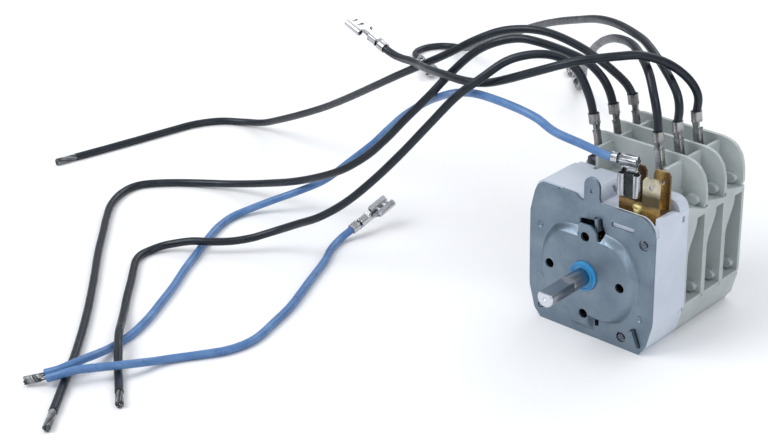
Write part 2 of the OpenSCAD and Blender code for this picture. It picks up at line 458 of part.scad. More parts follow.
module main_wheel() color(brass) place() difference() {
    union() {
        slab(3.2, 4.6) polygon(tooth_ring(main_teeth, main_module, 0));
        bore(0, 0, 4.2, 3.2, 12.4);
    }
    bore(0, 0, journal_r, 2, 14);
    for (a = [45:90:315]) bore(8 * cos(a), 8 * sin(a), 2.2, 2, 5);
}

module arbor(p, a, b) bore(p[0], p[1], 0.5, a, b);

module second_wheel() color(brass) place() {
    translate([arbor_1[0], 0, arbor_1[1]]) {
        slab(2.6, 5.2) polygon(tooth_ring(pinion_teeth, main_module, 22.5));
        difference() {
            slab(5.9, 6.7) polygon(tooth_ring(second_teeth, second_module, 0));
            for (a = [0:90:270]) bore(3.6 * cos(a), 3.6 * sin(a), 1.1, 5, 8);
        }
        bore(0, 0, 1.0, 5.1, 6.0);
    }
    arbor(arbor_1, 1.4, 13.8);
}

module escape_wheel() color(brass) place() {
    translate([arbor_2[0], 0, arbor_2[1]]) {
        slab(5.4, 7.4) polygon(tooth_ring(pinion_teeth, second_module, 15));
        difference() {
            slab(8.0, 8.8) polygon(saw_ring(15, 3.3, 4.4));
            for (a = [0:90:270]) bore(2.2 * cos(a), 2.2 * sin(a), 0.6, 7, 9);
        }
        bore(0, 0, 1.0, 7.3, 8.1);
    }
    arbor(arbor_2, 1.4, 13.8);
}

module anchor() color(steel) place() {
    translate([arbor_3[0], 0, arbor_3[1]]) {
        bore(0, 0, 1.2, 7.6, 11.2);
        slab(8.0, 8.8) difference() {
            polygon([[1.2, -1], [1.6, 1.4], [-1.2, 4.9], [-4.5, 5.6], [-4.9, 4.9], [-2.4, 3.9], [-0.9, 0.9], [-0.9, -1.2], [-2.4, -3.7], [-5.2, -4.9], [-4.9, -5.7], [-1.4, -4.9], [1.0, -2.0]]);
            circle(r = 0.9);
        }
        slab(9.8, 10.8) polygon([[-1.6, -1.2], [-0.8, -4.8], [0.8, -4.8], [1.6, -1.2], [1.6, 1.0], [0.8, 2.8], [-0.8, 2.8], [-1.6, 1.0]]);
    }
    arbor(arbor_3, 1.4, 13.8);
}

function coil(r0, r1, turns, n) = [for (i = [0:n]) let (a = 360 * turns * i / n, r = r0 + (r1 - r0) * i / n) [r * cos(a + 90), r * sin(a + 90)]];

module mainspring() color([0.35, 0.38, 0.44]) place() slab(9.4, 12.3) polygon(concat(coil(4.5, 11.0, 4, 96), [for (i = [96:-1:0]) coil(4.5 + spring_t, 11.0 + spring_t, 4, 96)[i]]));

module cam(k, a) {
    y = pocket_y[k - 1] - 1.6;
    difference() {
        slab(y, y + 3.2) difference() {
            union() {
                circle(r = 7.6);
                rotate(a) polygon([[0, 0], [8.9 * cos(100), 8.9 * sin(100)], [8.9 * cos(115), 8.9 * sin(115)], [8.9 * cos(140), 8.9 * sin(140)], [8.9 * cos(165), 8.9 * sin(165)], [8.9 * cos(190), 8.9 * sin(190)], [8.9 * cos(215), 8.9 * sin(215)], [8.9 * cos(240), 8.9 * sin(240)], [8.9 * cos(265), 8.9 * sin(265)], [8.9 * cos(290), 8.9 * sin(290)], [8.9 * cos(315), 8.9 * sin(315)], [8.9 * cos(340), 8.9 * sin(340)], [8.9 * cos(365), 8.9 * sin(365)], [8.9 * cos(390), 8.9 * sin(390)], [8.9 * cos(415), 8.9 * sin(415)], [8.9 * cos(432), 8.9 * sin(432)]]);
            }
            circle(r = 2.4);
        }
    }
}

module cam_1() color([0.86, 0.86, 0.82]) place() cam(1, 4);
module cam_2() color([0.86, 0.86, 0.82]) place() cam(2, 4);
module cam_3() color([0.86, 0.86, 0.82]) place() cam(3, 4);

// Spring blade that follows its cam and closes the contact.
module blade(k) color(brass) place() translate([0, pocket_y[k - 1] + 1.0, 0]) {
    translate([-13.6, -2.4, 14.6]) cube([21.2, 2.4, 0.4]);
    translate([-1.0, -2.4, 8.0]) cube([2.0, 2.4, 6.7]);
    translate([6.2, -1.2, 14.9]) cylinder(r = 1.1, h = 0.7);
    translate([-13.6, -2.4, 11.0]) cube([0.5, 2.4, 4.0]);
}
module blade_1() blade(1);
module blade_2() blade(2);
module blade_3() blade(3);

// ---------- neutral terminals ----------

module flag_place() translate([11.3, 4.3, 1.6]) rotate([0, 0, 10]) children();

module terminal_tab(x, z0, top, y) slab(y, y + 0.8) polygon([[x, z0], [x + 6.2, z0], [x + 6.2, top - 1.4], [x + 5.2, top], [x + 1.0, top], [x, top - 1.4]]);

// One stamped and folded piece with two rows of two tabs.
module neutral_strip() color(brass) place() {
    difference() {
        union() {
            terminal_tab(16.8, 14.8, 37.8, 3.7);
            slab(3.7, 4.5) polygon([[8.1, 14.8], [17.0, 14.8], [17.0, 28.1], [13.9, 28.8], [9.1, 28.8], [8.1, 27.8]]);
            intersection() {
                translate([15.2, 4.5, 24.6]) cylinder(r = 1.8, h = 3.6);
                translate([12, 2.6, 24]) cube([6, 1.8, 6]);
            }
            translate([8.2, 4.0, 25.2]) cube([14.7, 6.0, 0.8]);
            terminal_tab(16.9, 25.2, 38.4, 9.6);
            terminal_tab(7.8, 25.2, 38.2, 9.6);
            slab(9.6, 10.4) polygon([[8.2, 25.2], [22.9, 25.2], [22.9, 27.6], [8.2, 27.6]]);
        }
        translate([14.1, 2.0, 26.4]) cube([1.9, 4, 0.6]);
        bore(20.0, 34.5, 0.85, 2, 6);
        bore(20.2, 34.6, 0.85, 9, 12);
    }
    flag_place() translate([-3.1, -0.4, 25.4]) cube([6.2, 0.8, 10.0]);
}

// Flag receptacle: a crimp barrel lying across the top of the push-on part.
module flag_receptacle() color(bright) place() flag_place() {
    difference() {
        union() {
            translate([-3.8, 0.5, 27.8]) cube([7.6, 0.65, 8.0]);
            for (s = [-1, 1]) translate([s * 2.6, -0.56, 27.9]) cylinder(r = 1.2, h = 7.5);
            translate([-3.5, -0.4, 35.6]) cube([7.0, 1.5, 1.8]);
            translate([-2.6, -1.0, 37.0]) cube([5.2, 2.1, 2.0]);
            translate([3.0, 0, 40.0]) rotate([0, -90, 0]) cylinder(r = 1.65, h = 6.0);
            translate([-3.6, 0, 40.0]) rotate([0, -90, 0]) cylinder(r = 1.75, h = 2.6);
            translate([-4.2, -0.9, 38.3]) cube([2.0, 1.8, 0.8]);
        }
        translate([-3.3, -0.45, 27]) cube([6.6, 0.9, 8.7]);
        translate([-4.9, 0, 40.0]) rotate([0, -90, 0]) cylinder(r = 1.45, h = 3.0);
        translate([3.6, 0, 40.0]) rotate([0, -90, 0]) cylinder(r = 1.2, h = 2.0);
        translate([-2.6, -0.12, 41.3]) cube([5.2, 0.24, 1.0]);
    }
}

// ---------- lead terminals in the wafers ----------

// Blade and crimp with the lead leaving at the top, its foot at the origin.
module crimp(lean) {
    rotate([0, -lean, 0]) {
        difference() {
            union() {
                translate([-1.5, -1.4, -1.0]) cube([2.7, 2.2, 1.6]);
                    cylinder(r = 1.5, h = 7.2);
                translate([-1.1, -1.5, 6.8]) cube([2.2, 0.9, 3.4]);
                translate([0, 0, 9.8]) cylinder(r = 2.05, h = 3.0);
                translate([-2.5, -1.0, 10.3]) cube([1.2, 2.0, 2.5]);
            }
            translate([0, 0, 11.6]) cylinder(r = 1.45, h = 3);
            translate([-0.15, -1.9, 0.8]) cube([0.3, 1.0, 6.0]);
            translate([0, 0, -2]) cylinder(r = 0.8, h = 4);
        }
    }
}

module left_terminal(k) color(tin) place() translate([0, pocket_y[k - 1], 0]) {
    translate([-left_row, 0, 31.6]) crimp(left_lean);
    translate([-17.0, -0.4, 16.2]) cube([3.4, 0.8, 8]);
    translate([-18.5, -0.4, 22.6]) cube([3.4, 0.8, 8.9]);
    translate([-17.2, -0.4, 30.4]) cube([3.0, 0.8, 1.2]);
}

module right_terminal(k) color(tin) place() translate([0, pocket_y[k - 1], 0]) {
    translate([right_row, 0, 31.8]) crimp(right_lean);
    translate([7.9, -0.4, 16.6]) cube([4.6, 0.8, 14.9]);
    translate([8.6, -0.4, 31.3]) cube([3.2, 0.8, 0.6]);
}

module left_terminal_1() left_terminal(1);
module left_terminal_2() left_terminal(2);
module left_terminal_3() left_terminal(3);
module right_terminal_1() right_terminal(1);
module right_terminal_2() right_terminal(2);
module right_terminal_3() right_terminal(3);

// ---------- leads ----------

module lead_left_1() color(black) lead(route_left_1, lead_d);
module lead_left_2() color(black) lead(route_left_2, lead_d);
module lead_left_3() color(black) lead(route_left_3, lead_d);
module lead_right_1() color(black) lead(route_right_1, lead_d);
module lead_right_2() color(black) lead(route_right_2, lead_d);
module lead_right_3() color(black) lead(route_right_3, lead_d);
module lead_blue_main() color(blue) lead(route_blue_main, blue_d);
module lead_blue_branch() color(blue) lead(route_blue_branch, blue_d);

module bare_left_1() color(tin) bare_end(route_left_1, 6.7, strand_d);
module bare_left_2() color(tin) bare_end(route_left_2, 9.0, strand_d);
module bare_left_3() color(tin) bare_end(route_left_3, 8.0, strand_d);

// Stripped ends of both blue leads, twisted together.
module bare_blue() color(bright) {
    aim([-112.8, -149.8, 3.15], [-0.66, -0.75, -0.16]) rotate([0, 90, 0]) {
        for (s = [-1, 1]) translate([0, s * 1.6, -0.4]) rotate([s * 18, 0, 0]) cylinder(d = strand_d - 0.9, h = 4.6);
        translate([0, 0, 2.1]) cylinder(d = 3.2, h = 5.8);
    }
}

module far_receptacle(r) {
    n = len(r) - 1;
    aim(r[n], r[n] - r[n - 1]) translate([-0.4, 0, 0]) children();
}

module receptacle_right_1() color(bright) far_receptacle(route_right_1) receptacle();
module receptacle_right_2() color(bright) far_receptacle(route_right_2) translate([0, 0, 0.6]) receptacle();
module receptacle_right_3() color(bright) far_receptacle(route_right_3) rotate([180, 0, 0]) receptacle();
module receptacle_blue() color(bright) far_receptacle(route_blue_branch) receptacle();

front_plate();
shaft_bush();
control_shaft();
main_housing();
locating_pins();
wafer_1();
wafer_2();
wafer_3();
rear_screws();
movement_plate();
main_wheel();
second_wheel();
escape_wheel();
anchor();
mainspring();
cam_1();
cam_2();
cam_3();
blade_1();
blade_2();
blade_3();
neutral_strip();
flag_receptacle();
left_terminal_1();
left_terminal_2();
left_terminal_3();
right_terminal_1();
right_terminal_2();
right_terminal_3();
lead_left_1();
lead_left_2();
lead_left_3();
lead_right_1();
lead_right_2();
lead_right_3();
lead_blue_main();
lead_blue_branch();
bare_left_1();
bare_left_2();
bare_left_3();
bare_blue();
receptacle_right_1();
receptacle_right_2();
receptacle_right_3();
receptacle_blue();
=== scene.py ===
import math
import random

import bpy
import numpy as np
from mathutils import Matrix, Vector


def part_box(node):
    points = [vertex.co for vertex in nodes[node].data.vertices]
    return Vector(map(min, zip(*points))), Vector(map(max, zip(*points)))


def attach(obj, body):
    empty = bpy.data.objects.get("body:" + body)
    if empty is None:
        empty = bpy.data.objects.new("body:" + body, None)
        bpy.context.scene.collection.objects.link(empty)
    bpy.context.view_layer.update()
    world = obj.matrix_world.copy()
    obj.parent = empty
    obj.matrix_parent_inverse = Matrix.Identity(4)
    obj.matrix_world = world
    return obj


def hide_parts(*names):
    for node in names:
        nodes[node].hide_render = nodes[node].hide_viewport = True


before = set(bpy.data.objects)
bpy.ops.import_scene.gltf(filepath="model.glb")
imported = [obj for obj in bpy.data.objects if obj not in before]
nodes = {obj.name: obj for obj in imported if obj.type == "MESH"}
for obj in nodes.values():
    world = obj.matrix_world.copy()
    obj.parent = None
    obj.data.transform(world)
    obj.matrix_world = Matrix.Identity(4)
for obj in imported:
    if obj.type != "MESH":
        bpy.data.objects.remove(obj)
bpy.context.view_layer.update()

MM = 0.001
FACE_Y, AXIS_H = -13.9, 23.4
rng = random.Random(7)

# ------------------------------------------------------------------ camera

az, el, roll = math.radians(43.346), math.radians(25.969), math.radians(-1.647)
back = Vector((math.sin(az) * math.cos(el), -math.cos(az) * math.cos(el), math.sin(el)))
right = Vector((math.cos(az), math.sin(az), 0))
up = back.cross(right)
cam_x = math.cos(roll) * right + math.sin(roll) * up
cam_y = -math.sin(roll) * right + math.cos(roll) * up
cam_data = bpy.data.cameras.new("camera")
cam_data.lens = 81.16
cam_data.sensor_width = 36
cam_data.clip_start = 0.01
cam_data.clip_end = 20
cam = bpy.data.objects.new("camera", cam_data)
bpy.context.scene.collection.objects.link(cam)
m = Matrix((cam_x, cam_y, back)).transposed().to_4x4()
m.translation = Vector((0.2938, -0.4216, 0.2864))
cam.matrix_world = m
bpy.context.scene.camera = cam

# ------------------------------------------------------------------ helpers


def local(x, y, z):
    """A point about the shaft axis and the plate's face, in millimetres, to the row frame."""
    return Vector((x, y + FACE_Y, z + AXIS_H)) * MM


PLACE = Matrix.Translation(local(0, 0, 0))


def new_mesh(name, verts, faces, mat=None, smooth=None, body="case"):
    me = bpy.data.meshes.new(name)
    me.from_pydata([tuple(v) for v in verts], [], [tuple(f) for f in faces])
    me.update()
    me.validate()
    ob = bpy.data.objects.new(name, me)
    bpy.context.scene.collection.objects.link(ob)
    if mat:
        me.materials.append(mat)
    if smooth is not None:
        for p in me.polygons:
            p.use_smooth = True
        if smooth < 179:
            me.set_sharp_from_angle(angle=math.radians(smooth))
    if body:
        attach(ob, body)
    return ob


class Build:
    """Collects closed pieces of one mesh."""

    def __init__(self):
        self.v, self.f, self.mat = [], [], []

    def add(self, verts, faces, place=None, index=0):
        n = len(self.v)
        self.v += [place @ Vector(p) if place is not None else Vector(p) for p in verts]
        self.f += [[i + n for i in q] for q in faces]
        self.mat += index if isinstance(index, list) else [index] * len(faces)

    def make(self, name, mats, smooth=38, body="case", scale=1.0):
        ob = new_mesh(name, [p * scale for p in self.v], self.f, None, smooth, body)
        for mt in mats:
            ob.data.materials.append(mt)
        for p, i in zip(ob.data.polygons, self.mat):
            p.material_index = i
        return ob


def catmull(points, per=24):
    pts = [Vector(p) for p in points]
    ext = [2 * pts[0] - pts[1]] + pts + [2 * pts[-1] - pts[-2]]
    out = []
    for i in range(1, len(ext) - 2):
        a, b, c, d = ext[i - 1], ext[i], ext[i + 1], ext[i + 2]
        for k in range(per):
            t = k / per
            out.append(0.5 * (2 * b + (c - a) * t + (2 * a - 5 * b + 4 * c - d) * t * t + (3 * b - 3 * c + d - a) * t ** 3))
    out.append(pts[-1])
    return out


def resample(path, step):
    lengths = [0.0]
    for a, b in zip(path, path[1:]):
        lengths.append(lengths[-1] + (b - a).length)
    total = lengths[-1]
    n = max(2, round(total / step))
    out, j = [], 0
    for k in range(n + 1):
        s = total * k / n
        while j < len(lengths) - 2 and lengths[j + 1] < s:
            j += 1
        t = (s - lengths[j]) / max(lengths[j + 1] - lengths[j], 1e-12)
        out.append(path[j].lerp(path[j + 1], min(max(t, 0), 1)))
    return out, total


def carried_frames(path, hint=Vector((0.31, 0.87, 0.39))):
    n = len(path)
    tangents = [(path[min(i + 1, n - 1)] - path[max(i - 1, 0)]).normalized() for i in range(n)]
    u = (hint - hint.dot(tangents[0]) * tangents[0]).normalized()
    out = []
    for t in tangents:
        u = (u - u.dot(t) * t).normalized()
        out.append((t, u, t.cross(u)))
    return out


def tube_data(path, radius, sides, close=True, frames=None, spin=0.0):
    """Rings along a path; radius is a number or a list with one for each ring."""
    frames = frames or carried_frames(path)
    verts, faces = [], []
    for i, p in enumerate(path):
        r = radius[i] if hasattr(radius, "__len__") else radius
        _, u, w = frames[i]
        for k in range(sides):
            a = 2 * math.pi * k / sides + spin
            verts.append(p + r * (math.cos(a) * u + math.sin(a) * w))
    n = len(path)
    for i in range(n - 1):
        for k in range(sides):
            m2 = (k + 1) % sides
            faces.append((sides * i + k, sides * i + m2, sides * (i + 1) + m2, sides * (i + 1) + k))
    if close:
        faces.append(tuple(range(sides - 1, -1, -1)))
        faces.append(tuple(sides * (n - 1) + k for k in range(sides)))
    return verts, faces


def aim(point, direction):
    """+X towards direction, as the parts on the leads are placed."""
    d = Vector(direction).normalized()
    return Matrix.Translation(Vector(point)) @ Matrix.Rotation(math.atan2(d.y, d.x), 4, "Z") @ Matrix.Rotation(-math.asin(d.z), 4, "Y")


def sheet_data(stations, t, holes=()):
    """Bent sheet metal. stations are (origin, u, v, points): the sheet's middle line at each place along it.
    holes are (station interval, profile interval) cells that are punched out."""
    n = len(stations[0][3])
    verts = []
    for origin, u, v, pts in stations:
        o = Vector(origin)
        u, v = Vector(u), Vector(v)
        pts = [Vector((p[0], p[1])) for p in pts]
        normals = []
        for i in range(n):
            d = pts[min(i + 1, n - 1)] - pts[max(i - 1, 0)]
            d.normalize()
            normals.append(Vector((-d.y, d.x)))
        for s in (1, -1):
            for p, q in zip(pts, normals):
                c = p + s * t / 2 * q
                verts.append(o + c.x * u + c.y * v)
    holes = set(holes)
    A = lambda i, j: 2 * n * i + j
    B = lambda i, j: 2 * n * i + n + j
    m_ = len(stations)
    faces = []
    for i in range(m_ - 1):
        for j in range(n - 1):
            if (i, j) in holes:
                if i == 0 or (i - 1, j) not in holes:
                    faces.append((A(i, j), A(i, j + 1), B(i, j + 1), B(i, j)))
                if i == m_ - 2 or (i + 1, j) not in holes:
                    faces.append((A(i + 1, j + 1), A(i + 1, j), B(i + 1, j), B(i + 1, j + 1)))
                if j == 0 or (i, j - 1) not in holes:
                    faces.append((A(i + 1, j), A(i, j), B(i, j), B(i + 1, j)))
                if j == n - 2 or (i, j + 1) not in holes:
                    faces.append((A(i, j + 1), A(i + 1, j + 1), B(i + 1, j + 1), B(i, j + 1)))
                continue
            faces.append((A(i, j), A(i + 1, j), A(i + 1, j + 1), A(i, j + 1)))
            faces.append((B(i, j), B(i, j + 1), B(i + 1, j + 1), B(i + 1, j)))
        faces.append((A(i, 0), B(i, 0), B(i + 1, 0), A(i + 1, 0)))
        faces.append((A(i, n - 1), A(i + 1, n - 1), B(i + 1, n - 1), B(i, n - 1)))
    for j in range(n - 1):
        faces.append((A(0, j), A(0, j + 1), B(0, j + 1), B(0, j)))
        k = m_ - 1
        faces.append((A(k, j), B(k, j), B(k, j + 1), A(k, j + 1)))
    return verts, faces


def soften(ob, width, segments=2, angle=35, weld=False):
    """Rounded edges, as a tool or a mould leaves them."""
    if weld:
        w = ob.modifiers.new("weld", "WELD")
        w.merge_threshold = 1e-6
    b = ob.modifiers.new("edges", "BEVEL")
    b.width = width * MM
    b.segments = segments
    b.limit_method = "ANGLE"
    b.angle_limit = math.radians(angle)
    b.harden_normals = True
    b.use_clamp_overlap = True
    b.miter_outer = "MITER_ARC"
    return ob


# ------------------------------------------------------------------ materials

def lin(r, g, b):
    f = lambda c: c / 12.92 if c <= 0.04045 else ((c + 0.055) / 1.055) ** 2.4
    return (f(r / 255), f(g / 255), f(b / 255), 1)


class Mat:
    """A node material with helpers for its mixes."""

    def __init__(self, name):
        self.m = bpy.data.materials.new(name)
        self.m.use_nodes = True
        self.nt = self.m.node_tree
        self.p = self.nt.nodes["Principled BSDF"]
        self.coord = self.nt.nodes.new("ShaderNodeTexCoord").outputs["Object"]

    def set(self, **kw):
        for k, v in kw.items():
            self.p.inputs[k.replace("_", " ")].default_value = v
        return self

    def node(self, kind, **kw):
        n = self.nt.nodes.new(kind)
        for k, v in kw.items():
            setattr(n, k, v)
        return n

    def link(self, a, b):
        self.nt.links.new(a, b)

    def scaled(self, s):
        n = self.node("ShaderNodeMapping")
        n.inputs["Scale"].default_value = s if hasattr(s, "__len__") else (s, s, s)
        self.link(self.coord, n.inputs["Vector"])
        return n.outputs["Vector"]

    def noise(self, scale, detail=3, rough=0.5, distort=0.0):
        n = self.node("ShaderNodeTexNoise")
        n.inputs["Scale"].default_value = 1.0
        n.inputs["Detail"].default_value = detail
        n.inputs["Roughness"].default_value = rough
        n.inputs["Distortion"].default_value = distort
        self.link(self.scaled(scale), n.inputs["Vector"])
        return n.outputs["Fac"]

    def voronoi(self, scale, feature="F1"):
        n = self.node("ShaderNodeTexVoronoi", feature=feature)
        n.inputs["Scale"].default_value = 1.0
        self.link(self.scaled(scale), n.inputs["Vector"])
        return n.outputs["Distance"]

    def ramp(self, fac, stops):
        n = self.node("ShaderNodeValToRGB")
        r = n.color_ramp
        while len(r.elements) < len(stops):
            r.elements.new(0.5)
        for e, (p, c) in zip(r.elements, stops):
            e.position = p
            e.color = c if hasattr(c, "__len__") else (c, c, c, 1)
        self.link(fac, n.inputs["Fac"])
        return n.outputs["Color"]

    def mix(self, fac, a, b, blend="MIX"):
        n = self.node("ShaderNodeMix", data_type="RGBA", blend_type=blend)
        for i, v in ((0, fac), (6, a), (7, b)):
            if isinstance(v, bpy.types.NodeSocket):
                self.link(v, n.inputs[i])
            else:
                n.inputs[i].default_value = v
        return n.outputs[2]

    def math(self, op, a, b=0.0, clamp=False):
        n = self.node("ShaderNodeMath", operation=op, use_clamp=clamp)
        for i, v in ((0, a), (1, b)):
            if isinstance(v, bpy.types.NodeSocket):
                self.link(v, n.inputs[i])
            else:
                n.inputs[i].default_value = v
        return n.outputs[0]

    def range(self, fac, lo, hi, a=0.0, b=1.0):
        n = self.node("ShaderNodeMapRange")
        for k, v in (("From Min", a), ("From Max", b), ("To Min", lo), ("To Max", hi)):
            n.inputs[k].default_value = v
        self.link(fac, n.inputs["Value"])
        return n.outputs["Result"]

    def bump(self, height, strength, distance, before=None):
        n = self.node("ShaderNodeBump")
        n.inputs["Strength"].default_value = strength
        n.inputs["Distance"].default_value = distance
        self.link(height, n.inputs["Height"])
        if before is not None:
            self.link(before, n.inputs["Normal"])
        return n.outputs["Normal"]

    def colour(self, c):
        self.link(c, self.p.inputs["Base Color"])
        return self

    def rough(self, c):
        self.link(c, self.p.inputs["Roughness"])
        return self

    def normal(self, c):
        self.link(c, self.p.inputs["Normal"])
        return self


def mat_zinc():
    a = Mat("zinc_plate").set(Metallic=0.88, Roughness=0.44)
    cloud = a.noise(90, 4, 0.55, 0.4)
    fine = a.noise((900, 900, 320), 3, 0.6)
    base = a.ramp(cloud, [(0.30, lin(110, 124, 138)), (0.52, lin(123, 138, 151)), (0.75, lin(135, 148, 160))])
    speck = a.ramp(a.noise(1500, 2, 0.7), [(0.60, 0.0), (0.72, 1.0)])
    base = a.mix(a.math("MULTIPLY", speck, 0.35), base, lin(92, 104, 118))
    a.colour(base)
    a.rough(a.range(fine, 0.34, 0.54, 0.25, 0.75))
    b = a.bump(fine, 0.12, 0.00006)
    a.normal(a.bump(a.noise(220, 4, 0.5), 0.10, 0.0004, b))
    return a.m


def mat_plastic(name, c0, c1, c2, rough=0.42, grain=1600, spec=0.45, fleck=0.0):
    a = Mat(name).set(Roughness=rough, Subsurface_Weight=0.06, Subsurface_Scale=0.0015)
    a.p.inputs["Subsurface Radius"].default_value = (1.0, 0.8, 0.7)
    a.p.inputs["Specular IOR Level"].default_value = spec
    a.colour(a.ramp(a.noise(60, 4, 0.5, 0.6), [(0.28, c0), (0.5, c1), (0.74, c2)]))
    a.rough(a.range(a.noise(320, 3, 0.6), rough - 0.07, rough + 0.09, 0.3, 0.7))
    b = a.bump(a.noise(grain, 2, 0.5), 0.16, 0.00005)
    a.normal(a.bump(a.noise(110, 3, 0.5), 0.10, 0.0005, b))
    return a.m


def mat_brass(name="brass", low=lin(150, 112, 56), mid=lin(196, 158, 88), high=lin(222, 196, 130)):
    a = Mat(name).set(Metallic=1.0, Roughness=0.26)
    cloud = a.noise(120, 4, 0.5, 0.6)
    c = a.ramp(cloud, [(0.26, low), (0.50, mid), (0.76, high)])
    stain = a.ramp(a.noise(420, 4, 0.6, 0.4), [(0.62, 0.0), (0.80, 1.0)])
    a.colour(a.mix(a.math("MULTIPLY", stain, 0.30), c, low))
    a.rough(a.range(a.noise((260, 260, 1500), 3, 0.6), 0.17, 0.34, 0.3, 0.7))
    a.normal(a.bump(a.noise((420, 420, 2600), 2, 0.6), 0.07, 0.00003))
    return a.m


def mat_strip():
    """Folded brass: its front tabs are tinned at their tips. Painted light on it: a dark olive painted reflection
    across the right front tab and on top of the rear tabs, a painted highlight on the raised key and painted shade on
    the tab inside the flag receptacle.
    """
    a = Mat("brass_strip").set(Metallic=0.62, Roughness=0.26)
    sep = a.node("ShaderNodeSeparateXYZ")
    a.link(a.coord, sep.inputs[0])
    sx, sy, sz = sep.outputs
    wave = a.noise(240, 3, 0.5, 0.4)
    zz = a.math("ADD", sz, a.math("MULTIPLY", a.math("SUBTRACT", wave, 0.5), 0.0022))
    gold = a.ramp(a.noise(150, 4, 0.5, 0.5), [(0.28, lin(146, 112, 58)), (0.52, lin(178, 142, 78)), (0.76, lin(212, 180, 112))])
    # dark olive: the colour of the painted reflection across the tabs
    painted_reflection_olive = a.ramp(a.noise(180, 4, 0.5, 0.5), [(0.3, lin(29, 30, 22)), (0.7, lin(50, 48, 34))])
    tin = a.ramp(a.noise(260, 4, 0.55, 0.5), [(0.3, lin(152, 144, 124)), (0.7, lin(196, 188, 168))])
    brown = a.ramp(a.noise(200, 4, 0.5, 0.5), [(0.3, lin(76, 58, 40)), (0.7, lin(108, 84, 58))])
    dark = a.ramp(a.noise(300, 4, 0.5, 0.5), [(0.3, lin(24, 30, 33)), (0.7, lin(48, 54, 54))])
    # front row, right tab: gold, then a dark olive band that is a painted reflection, then the tinned tip
    band = a.range(zz, 0.0, 1.0, 0.0498, 0.0520)
    tip = a.range(zz, 0.0, 1.0, 0.0549, 0.0571)
    front = a.mix(tip, a.mix(a.math("MULTIPLY", band, 0.92), gold, painted_reflection_olive), tin)
    # front row, left of it: browner, with a painted highlight on the raised key and painted shade on the tab inside
    # the flag receptacle
    receptacle_shade_mask = a.range(zz, 0.0, 1.0, 0.0516, 0.0526)
    # distance from the raised key's middle, for the near-white painted highlight on it
    key = a.math("ADD", a.math("POWER", a.math("MULTIPLY", a.math("SUBTRACT", sx, 0.0152), 560.0), 2.0), a.math("POWER", a.math("MULTIPLY", a.math("SUBTRACT", sz, 0.0499), 560.0), 2.0))
    painted_highlight = a.range(key, 1.0, 0.0, 0.55, 1.25)
    left_part = a.mix(painted_highlight, a.mix(0.6, gold, brown), lin(255, 238, 168))
    # the tab inside the flag receptacle is painted dark: painted shade
    left_part = a.mix(receptacle_shade_mask, left_part, dark)
    front = a.mix(a.range(sx, 0.0, 1.0, 0.0166, 0.0170), left_part, front)
    # rear row: gold low down and in the middle, brown towards both edges, and a dark olive painted reflection on top
    edge = a.range(a.math("ADD", sx, a.math("MULTIPLY", a.math("SUBTRACT", wave, 0.5), 0.003)), 0.0, 1.0, 0.0203, 0.0222)
    top = a.range(zz, 0.0, 1.0, 0.0568, 0.0596)
    left = a.range(sx, 1.0, 0.0, 0.0160, 0.0182)
    pale = a.ramp(a.noise(150, 4, 0.5, 0.5), [(0.28, lin(166, 130, 70)), (0.52, lin(204, 168, 100)), (0.76, lin(232, 204, 140))])
    rear = a.mix(a.math("MULTIPLY", top, 0.35), pale, painted_reflection_olive)
    rear = a.mix(a.math("MULTIPLY", edge, 0.85), rear, brown)
    rear = a.mix(a.math("MULTIPLY", left, 0.90), rear, brown)
    row = a.range(sy, 0.0, 1.0, -0.0090, -0.0082)
    a.colour(a.mix(row, front, rear))
    a.rough(a.range(a.noise((260, 260, 1500), 3, 0.6), 0.15, 0.34, 0.3, 0.7))
    a.normal(a.bump(a.noise((420, 420, 2600), 2, 0.6), 0.07, 0.00003))
    return a.m


def mat_tin(name="tinned_metal", dark=1.0, rough=0.24, warm=0.0):
    a = Mat(name).set(Metallic=1.0, Roughness=rough)
    cloud = a.noise(170, 4, 0.5, 0.5)
    k = lambda r, g, b: lin(r * dark, (g - 4 * warm) * dark, (b - 12 * warm) * dark)
    c = a.ramp(cloud, [(0.28, k(168, 168, 172)), (0.50, k(196, 196, 199)), (0.74, k(218, 219, 221))])
    stain = a.ramp(a.noise(520, 4, 0.6, 0.5), [(0.60, 0.0), (0.78, 1.0)])
    a.colour(a.mix(a.math("MULTIPLY", stain, 0.28), c, k(104, 100, 98)))
    a.rough(a.range(a.noise(800, 3, 0.6), rough - 0.08, rough + 0.12, 0.3, 0.7))
    a.normal(a.bump(a.noise(1200, 3, 0.6), 0.08, 0.00003))
    return a.m


def mat_drawn(name, scale):
    """Tinned sheet with dark and bright lines along the way it was rolled."""
    a = Mat(name).set(Metallic=1.0, Roughness=0.22)
    lines = a.noise(scale, 3, 0.55, 0.2)
    c = a.ramp(lines, [(0.30, lin(92, 94, 100)), (0.46, lin(150, 153, 158)), (0.60, lin(196, 199, 203)), (0.76, lin(214, 217, 220))])
    stain = a.ramp(a.noise(520, 4, 0.6, 0.5), [(0.60, 0.0), (0.78, 1.0)])
    a.colour(a.mix(a.math("MULTIPLY", stain, 0.25), c, lin(96, 96, 98)))
    a.rough(a.range(a.noise(800, 3, 0.6), 0.16, 0.32, 0.3, 0.7))
    a.normal(a.bump(lines, 0.12, 0.00004))
    return a.m


def mat_strand(name, k):
    a = Mat(name).set(Metallic=0.85, Roughness=0.34)
    c = a.ramp(a.noise(420, 4, 0.55, 0.4), [(0.28, lin(100 * k, 102 * k, 104 * k)), (0.52, lin(136 * k, 138 * k, 140 * k)), (0.78, lin(174 * k, 175 * k, 177 * k))])
    a.colour(c)
    a.rough(a.range(a.noise(900, 3, 0.6), 0.26, 0.46, 0.3, 0.7))
    a.normal(a.bump(a.noise(1800, 2, 0.6), 0.1, 0.00003))
    return a.m


SHAFT_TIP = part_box("control_shaft")[0][1]


